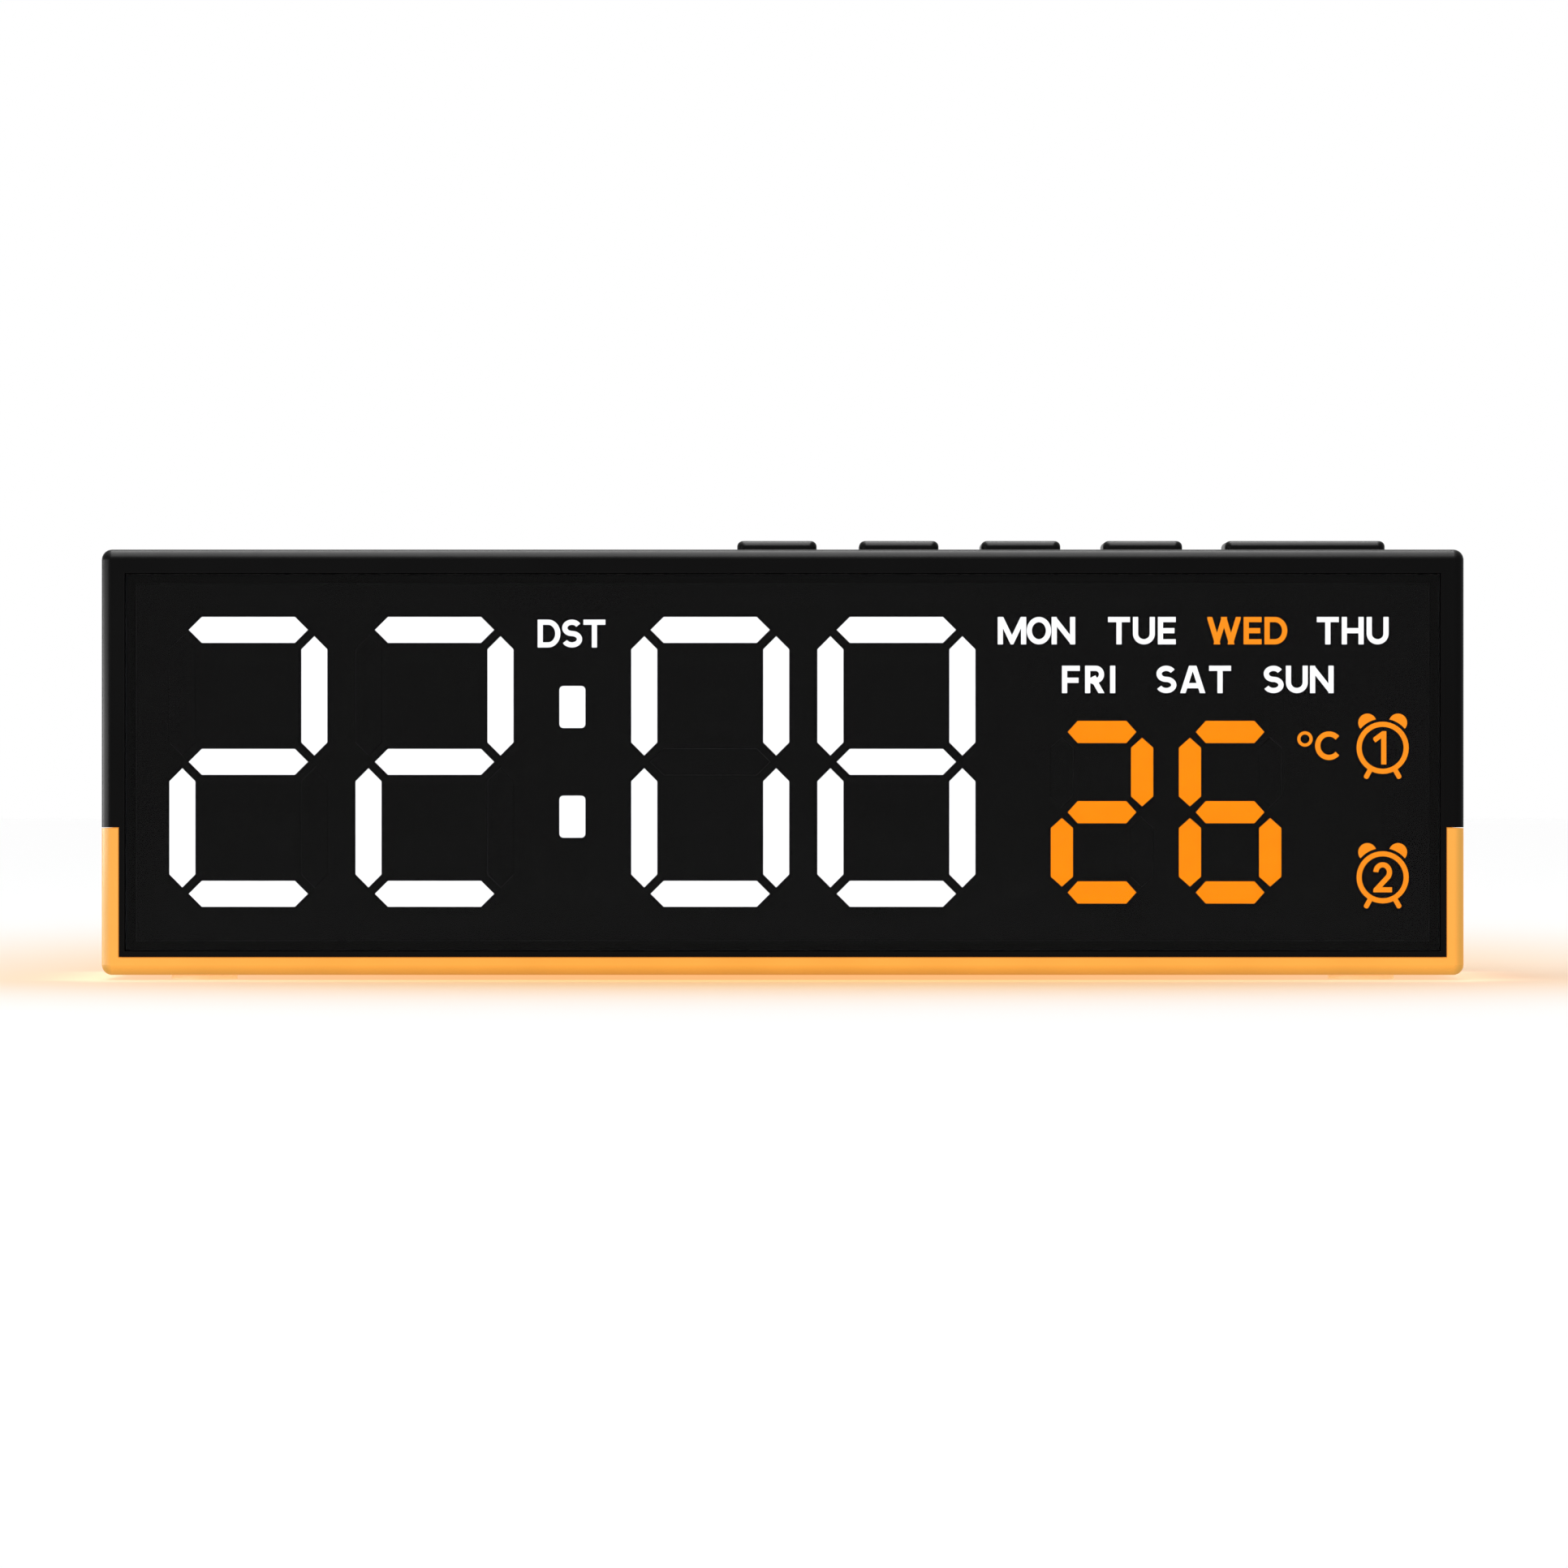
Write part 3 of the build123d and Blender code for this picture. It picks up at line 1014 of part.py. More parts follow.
def quartz_crystal():
    """Metal can lying on the display board below the controller."""
    half = CRYSTAL_LENGTH / 2
    place = (BOARD_BACK_Y + CRYSTAL_RADIUS, CRYSTAL_Z)
    return rod_x(*place, CRYSTAL_RADIUS, CONTROLLER_X - half, CONTROLLER_X + half)


def filter_capacitor():
    """Round capacitor standing on the display board."""
    place = (DRIVER_X, CAPACITOR_Z)
    return rod_y(*place, CAPACITOR_RADIUS, BOARD_BACK_Y, BOARD_BACK_Y + CAPACITOR_HEIGHT)


def buzzer():
    """Round sounder behind the vents."""
    back_y = BOARD_BACK_Y + BUZZER_HEIGHT
    can = rod_y(VENT_X, VENT_Z, BUZZER_RADIUS, BOARD_BACK_Y, back_y)
    return can - rod_y(VENT_X, VENT_Z, BUZZER_HOLE_RADIUS, back_y - BUZZER_HOLE_DEPTH, back_y + OVERCUT)


def temperature_sensor():
    """Dipped bead on two leads."""
    bead_y = BOARD_BACK_Y + SENSOR_LEAD_LENGTH
    bead = Pos(SENSOR_X, bead_y, SENSOR_Z) * Sphere(SENSOR_RADIUS)
    offsets = (-SENSOR_LEAD_SPREAD / 2, SENSOR_LEAD_SPREAD / 2)
    leads = [rod_y(SENSOR_X + x, SENSOR_Z, SENSOR_LEAD_RADIUS, BOARD_BACK_Y, bead_y) for x in offsets]
    return bead + leads


def foot(x, y):
    """Rubber pad in its pocket under the light bar."""
    return rod_z(x, y, FOOT_RADIUS, 0, FOOT_TOP_Z)


def lit_outlines(segments, lit):
    """Outlines of the bars that are lit, or of those that are not."""
    return [segment.outline() for segment in segments if segment.lit == lit]


def parts():
    """Every piece of the clock by name."""
    cover_seat_y = REAR_Y - SCREW_SINK
    screws = [pan_screw(*place, cover_seat_y, COVER_SCREW_LENGTH) for place in cover_screw_places()]
    board_screws = [pan_screw(*place, BOARD_BACK_Y, BOARD_SCREW_LENGTH) for place in board_screw_places()]
    pieces = {
        "housing": housing(),
        "light_bar": light_bar(),
        "front_lens": front_lens(),
        "rear_cover": rear_cover(),
        "battery_door": battery_door(),
        "display_mask": display_mask(),
        "time_segments_lit": segment_tiles(lit_outlines(time_segments(), True)),
        "time_segments_dark": segment_tiles(lit_outlines(time_segments(), False)),
        "colon_dots": segment_tiles(colon_outlines()),
        "temperature_segments_lit": segment_tiles(lit_outlines(temperature_segments(), True)),
        "temperature_segments_dark": segment_tiles(lit_outlines(temperature_segments(), False)),
        "reflector": reflector(),
        "display_board": display_board(),
        "white_leds": white_leds(),
        "amber_leds": amber_leds(),
        "controller_chip": chip(CONTROLLER_X),
        "driver_chip": chip(DRIVER_X),
        "chip_leads": chip_leads(),
        "quartz_crystal": quartz_crystal(),
        "filter_capacitor": filter_capacitor(),
        "buzzer": buzzer(),
        "temperature_sensor": temperature_sensor(),
        "button_board": button_board(),
        "switch_bodies": Compound([switch_body(x) for name, x, width in button_places()]),
        "power_board": power_board(),
        "usb_shell": usb_shell(),
        "usb_insulator": usb_insulator(),
        "header_strips": header_strips(),
        "header_pins": header_pins(),
        "coin_cell": coin_cell(),
        "battery_contact_negative": negative_contact(),
        "battery_contact_positive": positive_contact(),
        "light_strip": light_strip(),
        "light_strip_leds": light_strip_leds(),
        "strip_connector": strip_connector(),
        "cover_screws": Compound(screws),
        "board_screws": Compound(board_screws),
        "base_screws": Compound([base_screw(x, y) for x, y in foot_places()]),
        "feet": Compound([foot(x, y) for x, y in foot_places()]),
    }
    for name, x, width in button_places():
        pieces[f"{name}_button"] = button(x, width)
        pieces[f"{name}_plunger"] = switch_plunger(x)
    return pieces


os.makedirs("parts", exist_ok=True)
for node, shape in parts().items():
    export_step(shape, f"parts/{node}.step")
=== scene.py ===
"""Looks of a slim bedside alarm clock: its finishes, its lit words and signs, and a plain pale studio."""

import logging
import math
from dataclasses import dataclass, field
from enum import Enum

import bmesh
import bpy
from mathutils import Matrix, Vector


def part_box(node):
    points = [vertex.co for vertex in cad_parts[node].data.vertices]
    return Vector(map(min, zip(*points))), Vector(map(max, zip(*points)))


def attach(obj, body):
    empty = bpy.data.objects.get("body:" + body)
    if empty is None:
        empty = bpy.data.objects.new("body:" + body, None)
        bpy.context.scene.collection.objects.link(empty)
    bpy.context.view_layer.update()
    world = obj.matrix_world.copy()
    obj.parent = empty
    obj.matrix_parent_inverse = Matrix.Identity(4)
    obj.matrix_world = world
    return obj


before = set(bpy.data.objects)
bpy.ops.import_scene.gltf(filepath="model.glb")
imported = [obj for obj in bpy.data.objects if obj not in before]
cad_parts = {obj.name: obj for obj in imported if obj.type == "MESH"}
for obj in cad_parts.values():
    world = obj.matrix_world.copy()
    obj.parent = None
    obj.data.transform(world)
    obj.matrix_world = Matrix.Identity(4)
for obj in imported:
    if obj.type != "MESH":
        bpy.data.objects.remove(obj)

LOG = logging.getLogger("alarm_clock")

MM = 0.001
BODY = "case"
MERGE_GAP = 0.0005 * MM
LAYER_STEP = 0.004 * MM
ARC_STEP_DEGREES = 9.0
FULL_TURN = 360.0
UNIT_HALF = 0.5
UPRIGHT = Matrix.Rotation(math.pi / 2, 3, "X")

Colour = tuple[float, float, float]
Point = tuple[float, float]
Place = tuple[float, float, float]
Socket = bpy.types.NodeSocket
Number = Socket | float
Tint = Socket | Colour
Fed = Socket | float | Colour | Vector
Feeds = dict[str | int, Fed]

PURE_WHITE: Colour = (1.0, 1.0, 1.0)
DUST_GREY: Colour = (0.42, 0.41, 0.39)
NOISE_SPAN: Point = (0.3, 0.7)


class Window(Enum):
    """Colour of a lit window of the display."""

    WHITE = (1.0, 1.0, 1.0)
    AMBER = (1.0, 0.262, 0.0)
    SIGN_AMBER = (0.94, 0.28, 0.008)


class Slot(Enum):
    """Names of the record's material slots that match the new pieces' finishes; the pieces keep them, but
    nothing here gives the pieces these slots.
    """

    LIT_WHITE = "lit_white"
    LIT_AMBER = "lit_amber"


class Wiring:
    """Adds nodes to one node tree and joins their sockets."""

    def __init__(self, tree: bpy.types.NodeTree) -> None:
        """Keeps the tree of a material, a world or a group."""
        self.tree = tree

    def node(self, kind: str, feeds: Feeds | None = None, **settings: object) -> bpy.types.Node:
        """Adds one node.

        Args:
            kind: Blender's name for the node type.
            feeds: what its inputs get, by name or number.
            settings: properties of the node by name.

        Returns:
            The new node.
        """
        made = self.tree.nodes.new(kind)
        for name, value in settings.items():
            setattr(made, name, value)
        for key, source in (feeds or {}).items():
            self.feed(source, made.inputs[key])
        return made

    def feed(self, source: Fed, target: Socket) -> None:
        """Links a socket to a target, or writes a plain value on it.

        Args:
            source: output socket, number, colour or vector.
            target: input socket.
        """
        if isinstance(source, Socket):
            self.tree.links.new(source, target)
        elif target.type == "RGBA":
            target.default_value = (*source, 1.0)
        else:
            target.default_value = source

    def sum(self, operation: str, first: Number, second: Number = 0.0) -> Socket:
        """Adds a Math node and gives its result."""
        return self.node("ShaderNodeMath", {0: first, 1: second}, operation=operation).outputs[0]

    def product(self, first: Number, second: Number) -> Socket:
        """Multiplies two numbers."""
        return self.sum("MULTIPLY", first, second)

    def past(self, first: Number, second: Number) -> Socket:
        """Gives how far the first number lies above the second, or 0 below it."""
        return self.sum("MAXIMUM", self.sum("SUBTRACT", first, second), 0.0)

    def decay(self, amount: Socket) -> Socket:
        """Gives a share that falls from 1 as the amount grows from 0."""
        return self.sum("EXPONENT", self.product(amount, -1.0))

    def ramp(self, value: Socket, ends: Point, low: Number = 0.0, high: Number = 1.0) -> Socket:
        """Maps the span between two ends to the span from low to high, and holds it there."""
        feeds = {"Value": value, "From Min": ends[0], "From Max": ends[1], "To Min": low, "To Max": high}
        return self.node("ShaderNodeMapRange", feeds, clamp=True).outputs["Result"]

    def swing(self, noise: Socket, middle: Number, reach: Number) -> Socket:
        """Swings a value to both sides of its middle with a noise from 0 to 1."""
        low, high = (self.sum(way, middle, reach) for way in ("SUBTRACT", "ADD"))
        return self.ramp(noise, NOISE_SPAN, low, high)

    def noise(self, place: Socket, scale: Number, detail: float) -> Socket:
        """Adds a noise from 0 to 1."""
        feeds = {"Vector": place, "Scale": scale, "Detail": detail}
        return self.node("ShaderNodeTexNoise", feeds).outputs["Fac"]

    def parts(self, vector: Socket) -> bpy.types.NodeOutputs:
        """Takes a vector apart into X, Y and Z."""
        return self.node("ShaderNodeSeparateXYZ", {"Vector": vector}).outputs

    def facing(self) -> Socket:
        """Gives the way that the surface looks."""
        return self.node("ShaderNodeNewGeometry").outputs["Normal"]

    def scaled(self, colour: Socket, share: Socket) -> Socket:
        """Makes a colour lighter or darker by a share."""
        feeds = {"Vector": colour, "Scale": share}
        return self.node("ShaderNodeVectorMath", feeds, operation="SCALE").outputs["Vector"]

    def blend(self, factor: Socket, first: Tint, second: Tint) -> Socket:
        """Mixes two colours; the factor is the share of the second."""
        feeds = {"Factor": factor, "A": first, "B": second}
        return self.node("ShaderNodeMix", feeds, data_type="RGBA").outputs["Result"]


@dataclass
class SharedGroup:
    """A shader node group that is built once and placed in many materials."""

    name: str
    inputs: tuple[str, ...]
    outputs: tuple[str, ...]
    tree: bpy.types.NodeTree = field(init=False)
    wires: Wiring = field(init=False)
    given: bpy.types.NodeOutputs = field(init=False)
    result: bpy.types.NodeInputs = field(init=False)

    PLAIN_KIND = "NodeSocketFloat"
    KINDS = {"Place": "NodeSocketVector", "Stretch": "NodeSocketVector", "Colour": "NodeSocketColor"}

    def __post_init__(self) -> None:
        """Makes the group, its sockets and its inner nodes."""
        self.tree = bpy.data.node_groups.new(self.name, "ShaderNodeTree")
        for side, names in (("INPUT", self.inputs), ("OUTPUT", self.outputs)):
            for name in names:
                kind = self.KINDS.get(name, self.PLAIN_KIND)
                self.tree.interface.new_socket(name, in_out=side, socket_type=kind)
        self.wires = Wiring(self.tree)
        self.given = self.wires.node("NodeGroupInput").outputs
        self.result = self.wires.node("NodeGroupOutput").inputs
        self.build()

    def build(self) -> None:
        """Fills the group; each kind of group has its own."""
        raise NotImplementedError

    def place(self, wires: Wiring, **values: Fed) -> bpy.types.NodeOutputs:
        """Puts the group in a material, with its inputs by name and _ for a space."""
        feeds = {name.replace("_", " "): value for name, value in values.items()}
        return wires.node("ShaderNodeGroup", feeds, node_tree=self.tree).outputs


class GrainGroup(SharedGroup):
    """Fine moulded grain with slow drifts of colour and gloss."""

    FINE_DETAIL = 3.0
    BROAD_DETAIL = 2.0

    def build(self) -> None:
        """Fills the group with a fine noise and a broad one."""
        wires, given, result = self.wires, self.given, self.result
        fine = wires.noise(given["Place"], given["Grain Scale"], self.FINE_DETAIL)
        broad = wires.noise(given["Place"], given["Drift Scale"], self.BROAD_DETAIL)
        tone = wires.swing(broad, 1.0, given["Colour Spread"])
        gloss = wires.swing(broad, given["Roughness"], given["Roughness Spread"])
        wires.feed(wires.scaled(given["Colour"], tone), result["Colour"])
        wires.feed(gloss, result["Roughness"])
        wires.feed(fine, result["Height"])


class DustGroup(SharedGroup):
    """Thin dust that settles on faces that look up."""

    SPECKLE = 1.4 * MM
    DETAIL = 6.0
    THIN_SHARE = 0.25

    def build(self) -> None:
        """Fills the group with a speckle that fades as the face turns away from up."""
        wires = self.wires
        speckle = wires.noise(self.given["Place"], 1.0 / self.SPECKLE, self.DETAIL)
        upward = wires.sum("MAXIMUM", wires.parts(wires.facing())["Z"], 0.0)
        settled = wires.product(upward, wires.ramp(speckle, NOISE_SPAN, low=self.THIN_SHARE))
        wires.feed(wires.product(settled, self.given["Amount"]), self.result["Dust"])


class RubbedEdgeGroup(SharedGroup):
    """Mask of the edges that hands and cloths rub smooth."""

    SAMPLES = 4
    TURN_SPAN: Point = (0.98, 0.75)

    def build(self) -> None:
        """Fills the group with the turn of the face near its edges."""
        wires = self.wires
        eased = wires.node("ShaderNodeBevel", {"Radius": self.given["Reach"]}, samples=self.SAMPLES)
        feeds = {0: eased.outputs["Normal"], 1: wires.facing()}
        turn = wires.node("ShaderNodeVectorMath", feeds, operation="DOT_PRODUCT").outputs["Value"]
        rubbed = wires.ramp(turn, self.TURN_SPAN)
        wires.feed(wires.product(rubbed, self.given["Amount"]), self.result["Edge"])


class BrushGroup(SharedGroup):
    """Fine drawn lines of rolled and brushed metal."""

    DETAIL = 2.0

    def build(self) -> None:
        """Fills the group with a noise that is long on one axis."""
        wires, given = self.wires, self.given
        feeds = {0: given["Place"], 1: given["Stretch"]}
        drawn = wires.node("ShaderNodeVectorMath", feeds, operation="MULTIPLY").outputs["Vector"]
        lines = wires.noise(drawn, 1.0, self.DETAIL)
        gloss = wires.swing(lines, given["Roughness"], given["Roughness Spread"])
        wires.feed(gloss, self.result["Roughness"])
        wires.feed(lines, self.result["Height"])


GRAIN = GrainGroup(
    "moulded_grain",
    ("Place", "Grain Scale", "Drift Scale", "Colour", "Colour Spread", "Roughness", "Roughness Spread"),
    ("Colour", "Roughness", "Height"),
)
DUST = DustGroup("settled_dust", ("Place", "Amount"), ("Dust",))
RUBBED_EDGE = RubbedEdgeGroup("rubbed_edge", ("Reach", "Amount"), ("Edge",))
BRUSH = BrushGroup(
    "drawn_lines", ("Place", "Stretch", "Roughness", "Roughness Spread"), ("Roughness", "Height")
)


class Bench(Wiring):
    """Wiring of a new material, with its shader and the piece's own coordinates."""

    def __init__(self, name: str) -> None:
        """Makes the material.

        Args:
            name: name of the material.
        """
        self.material = bpy.data.materials.new(name)
        self.material.use_nodes = True
        super().__init__(self.material.node_tree)
        self.shader = self.tree.nodes["Principled BSDF"]
        self.place = self.node("ShaderNodeTexCoord").outputs["Object"]

    def show(self, **values: Fed) -> None:
        """Feeds the shader's inputs, by name and with _ for a space."""
        for name, value in values.items():
            self.feed(value, self.shader.inputs[name.replace("_", " ")])

    def bump(self, height: Socket, depth: float, share: float) -> None:
        """Gives the shader bumps of a depth, of which a share shows."""
        made = self.node("ShaderNodeBump", {"Distance": depth, "Strength": share, "Height": height})
        self.show(Normal=made.outputs["Normal"])


@dataclass(frozen=True)
class Grain:
    """Sizes of a grain, and how far colour and gloss drift across it."""

    size: float
    drift: float
    colour_spread: float
    roughness_spread: float

    def place(self, bench: Bench, colour: Colour, roughness: float) -> bpy.types.NodeOutputs:
        """Puts the grain in a material.

        Args:
            bench: the material's bench.
            colour: colour of the finish.
            roughness: roughness of the finish.

        Returns:
            Sockets of the grain's colour, roughness and height.
        """
        return GRAIN.place(
            bench,
            Place=bench.place,
            Grain_Scale=1.0 / self.size,
            Drift_Scale=1.0 / self.drift,
            Colour=colour,
            Colour_Spread=self.colour_spread,
            Roughness=roughness,
            Roughness_Spread=self.roughness_spread,
        )


@dataclass(frozen=True)
class Finish:
    """A finish of this clock; each kind wires its own material."""

    name: str

    def material(self) -> bpy.types.Material:
        """Makes the finish's material, or finds it where it is made already.

        Returns:
            The material.
        """
        found = bpy.data.materials.get(self.name)
        if found is not None:
            return found
        bench = Bench(self.name)
        self.wire(bench)
        return bench.material

    def wire(self, bench: Bench) -> None:
        """Wires the material's nodes; each kind of finish has its own."""
        raise NotImplementedError

    def dress(self, piece: bpy.types.Object) -> None:
        """Puts the finish on a piece.

        Args:
            piece: mesh object.
        """
        piece.data.materials.clear()
        piece.data.materials.append(self.material())
        LOG.info("%s wears %s", piece.name, self.name)


@dataclass(frozen=True)
class MouldedPlastic(Finish):
    """Moulded plastic or rubber with a grain, rubbed edges and a little dust."""

    colour: Colour
    roughness: float
    specular: float
    grain: float = 0.3 * MM
    depth: float = 0.01 * MM
    colour_spread: float = 0.06
    roughness_spread: float = 0.02
    rub: float = 0.3
    dust: float = 0.02

    BUMP_SHARE = 0.35
    RUB_REACH = 0.35 * MM
    RUB_LIGHTER = 1.9
    RUB_SMOOTHER = 0.14
    DRIFT_PER_GRAIN = 40.0

    def wire(self, bench: Bench) -> None:
        """Wires grain, rubbed edges and dust.

        Args:
            bench: the material's bench.
        """
        drift = self.DRIFT_PER_GRAIN * self.grain
        moulding = Grain(self.grain, drift, self.colour_spread, self.roughness_spread)
        grain = moulding.place(bench, self.colour, self.roughness)
        edge = RUBBED_EDGE.place(bench, Reach=self.RUB_REACH, Amount=self.rub)["Edge"]
        dust = DUST.place(bench, Place=bench.place, Amount=self.dust)["Dust"]
        worn: Colour = tuple(part * self.RUB_LIGHTER for part in self.colour)
        smoother = bench.product(edge, self.RUB_SMOOTHER)
        bench.show(
            Base_Color=bench.blend(dust, bench.blend(edge, grain["Colour"], worn), DUST_GREY),
            Roughness=bench.sum("SUBTRACT", grain["Roughness"], smoother),
            Specular_IOR_Level=self.specular,
        )
        bench.bump(grain["Height"], self.depth, self.BUMP_SHARE)


@dataclass(frozen=True)
class ClearSilicone(Finish):
    """Milky clear silicone rubber, with a painted glow: a faint amber emission stands for the night light
    shining through it.
    """

    colour: Colour = (0.92, 0.80, 0.62)
    roughness: float = 0.55
    grain: Grain = Grain(0.25 * MM, 3.0 * MM, 0.05, 0.08)
    depth: float = 0.01 * MM
    bump_share: float = 0.3
    clearness: float = 0.75
    index: float = 1.41
    # Painted glow: the feet emit a faint amber though they hold no lamp.
    glow: Colour = (1.0, 0.62, 0.28)
    painted_glow_strength: float = 0.12

    def wire(self, bench: Bench) -> None:
        """Wires a milky body with a fine grain and the painted glow.

        Args:
            bench: the material's bench.
        """
        grain = self.grain.place(bench, self.colour, self.roughness)
        bench.show(
            Base_Color=grain["Colour"],
            Roughness=grain["Roughness"],
            Transmission_Weight=self.clearness,
            IOR=self.index,
            Emission_Color=self.glow,
            Emission_Strength=self.painted_glow_strength,
        )
        bench.bump(grain["Height"], self.depth, self.bump_share)


@dataclass(frozen=True)
class SmokedLens(Finish):
    """Clear acrylic with a grey smoke in it and a coat that keeps reflections down."""

    smoke: Colour = (0.22, 0.22, 0.226)
    coat_index: float = 1.17
    roughness: float = 0.06
    smudge: Grain = Grain(1.0 * MM, 14.0 * MM, 0.02, 0.025)

    def wire(self, bench: Bench) -> None:
        """Wires the smoke and faint smudges.

        Args:
            bench: the material's bench.
        """
        grain = self.smudge.place(bench, self.smoke, self.roughness)
        bench.show(
            Base_Color=grain["Colour"],
            Roughness=grain["Roughness"],
            Transmission_Weight=1.0,
            IOR=self.coat_index,
        )


@dataclass(frozen=True)
class LitWindow(Finish):
    """A window of the display with its lamp on, which shines out of its front face alone."""

    window: Window
    strength: float
    cloud: Grain = Grain(0.2 * MM, 2.0 * MM, 0.03, 0.1)
    roughness: float = 0.5
    specular: float = 0.1
    depth: float = 0.005 * MM
    bump_share: float = 0.2

    def wire(self, bench: Bench) -> None:
        """Wires a glow that is slightly cloudy, as filled resin is.

        Args:
            bench: the material's bench.
        """
        grain = self.cloud.place(bench, self.window.value, self.roughness)
        backward = bench.parts(bench.facing())["Y"]
        forward = bench.sum("MAXIMUM", bench.product(backward, -1.0), 0.0)
        bench.show(
            Base_Color=grain["Colour"],
            Roughness=grain["Roughness"],
            Specular_IOR_Level=self.specular,
            Emission_Color=grain["Colour"],
            Emission_Strength=bench.product(forward, self.strength),
        )
        bench.bump(grain["Height"], self.depth, self.bump_share)


@dataclass(frozen=True)
class NightDiffuser(Finish):
    """Frosted amber plastic with lamps in a row behind it."""

    colour: Colour = (0.45, 0.28, 0.055)
    glow: Colour = (1.0, 0.345, 0.045)
    strength: float = 0.63
    # Painted shade: the glow turns towards this darker colour on faces that look down and, by the corner
    # share, on rounded corners.
    painted_shade_edge_glow: Colour = (0.20, 0.12, 0.040)
    painted_corner_shade_share: float = 1.2
    lamp_pitch: float = 12.5 * MM
    lamp_swing: float = 0.025
    roughness: float = 0.42
    specular: float = 0.14
    frost: Grain = Grain(0.25 * MM, 9.0 * MM, 0.04, 0.06)
    depth: float = 0.006 * MM
    bump_share: float = 0.3
    dust: float = 0.02

    def wire(self, bench: Bench) -> None:
        """Wires the frost, the swing of light from lamp to lamp, and painted shade that dims the glow on
        faces that look down and on rounded corners.

        Args:
            bench: the material's bench.
        """
        grain = self.frost.place(bench, self.colour, self.roughness)
        turn = bench.product(bench.parts(bench.place)["X"], 2.0 * math.pi / self.lamp_pitch)
        swing = bench.product(bench.sum("COSINE", turn), self.lamp_swing)
        facing = bench.parts(bench.facing())
        # Painted shade: dims the glow on faces that look down and on rounded corners.
        below = bench.sum("MAXIMUM", bench.product(facing["Z"], -1.0), 0.0)
        corner = bench.sum("ABSOLUTE", bench.product(facing["X"], facing["Y"]))
        painted_edge_shade = bench.sum("ADD", below, bench.product(corner, self.painted_corner_shade_share))
        dust = DUST.place(bench, Place=bench.place, Amount=self.dust)["Dust"]
        light = bench.blend(painted_edge_shade, self.glow, self.painted_shade_edge_glow)
        bench.show(
            Base_Color=bench.blend(dust, grain["Colour"], DUST_GREY),
            Roughness=grain["Roughness"],
            Specular_IOR_Level=self.specular,
            Emission_Color=bench.scaled(light, bench.sum("ADD", swing, 1.0)),
            Emission_Strength=self.strength,
        )
        bench.bump(grain["Height"], self.depth, self.bump_share)


@dataclass(frozen=True)
class BareMetal(Finish):
    """Rolled, drawn or plated metal."""

    colour: Colour
    roughness: float
    roughness_spread: float = 0.08
    lines: Place = (0.15 * MM, 4.0 * MM, 4.0 * MM)
    depth: float = 0.003 * MM
    bump_share: float = 0.3
    tarnish: Grain = Grain(0.2 * MM, 3.0 * MM, 0.08, 0.08)
    rub: float = 0.5
    rub_reach: float = 0.15 * MM
    rub_brighter: float = 1.15

    def wire(self, bench: Bench) -> None:
        """Wires drawn lines, a slow tarnish and rubbed edges.

        Args:
            bench: the material's bench.
        """
        drawn = BRUSH.place(
            bench,
            Place=bench.place,
            Stretch=tuple(1.0 / length for length in self.lines),
            Roughness=self.roughness,
            Roughness_Spread=self.roughness_spread,
        )
        tarnished = self.tarnish.place(bench, self.colour, self.roughness)["Colour"]
        edge = RUBBED_EDGE.place(bench, Reach=self.rub_reach, Amount=self.rub)["Edge"]
        bright: Colour = tuple(min(1.0, part * self.rub_brighter) for part in self.colour)
        bench.show(
            Base_Color=bench.blend(edge, tarnished, bright),
            Roughness=drawn["Roughness"],
            Metallic=1.0,
        )
        bench.bump(drawn["Height"], self.depth, self.bump_share)


@dataclass(frozen=True)
class TrackedBoard(Finish):
    """Circuit board or flexible strip with tracks under its coat."""

    colour: Colour
    track: Colour
    pitch: float
    roughness: float = 0.38
    coat: Grain = Grain(0.1 * MM, 6.0 * MM, 0.10, 0.06)
    track_span: Point = (0.10, 0.06)
    track_height: float = 0.03 * MM
    bump_share: float = 0.5

    def wire(self, bench: Bench) -> None:
        """Wires tracks that stand a little proud of the coat.

        Args:
            bench: the material's bench.
        """
        feeds = {"Vector": bench.place, "Scale": 1.0 / self.pitch}
        cells = bench.node("ShaderNodeTexVoronoi", feeds, feature="DISTANCE_TO_EDGE")
        line = bench.ramp(cells.outputs["Distance"], self.track_span)
        grain = self.coat.place(bench, self.colour, self.roughness)
        bench.show(
            Base_Color=bench.blend(line, grain["Colour"], self.track), Roughness=grain["Roughness"]
        )
        bench.bump(line, self.track_height, self.bump_share)


CASE_BLACK = MouldedPlastic("case_black_grain", (0.0019, 0.0019, 0.0020), 0.32, 0.043)
BUTTON_BLACK = MouldedPlastic(
    "button_black_satin", (0.0034, 0.0034, 0.0035), 0.32, 0.055, grain=0.2 * MM, depth=0.006 * MM
)
COVER_BLACK = MouldedPlastic(
    "cover_black_spark", (0.0060, 0.0060, 0.0063), 0.48, 0.12, grain=0.45 * MM, depth=0.02 * MM
)
CHIP_BLACK = MouldedPlastic(
    "chip_black_moulding", (0.012, 0.012, 0.013), 0.6, 0.3, grain=0.1 * MM, dust=0.0
)
MASK_BLACK = MouldedPlastic(
    "mask_black_print",
    (0.0003, 0.0003, 0.0003),
    0.55,
    0.0,
    grain=0.08 * MM,
    depth=0.003 * MM,
    rub=0.0,
    dust=0.0,
)
UNLIT_RESIN = MouldedPlastic(
    "unlit_smoky_resin", (0.0004, 0.0004, 0.0004), 0.5, 0.0, grain=0.15 * MM, rub=0.0, dust=0.0
)
REFLECTOR_WHITE = MouldedPlastic(
    "reflector_white_moulding", (0.80, 0.80, 0.78), 0.45, 0.4, colour_spread=0.03, rub=0.0, dust=0.0
)
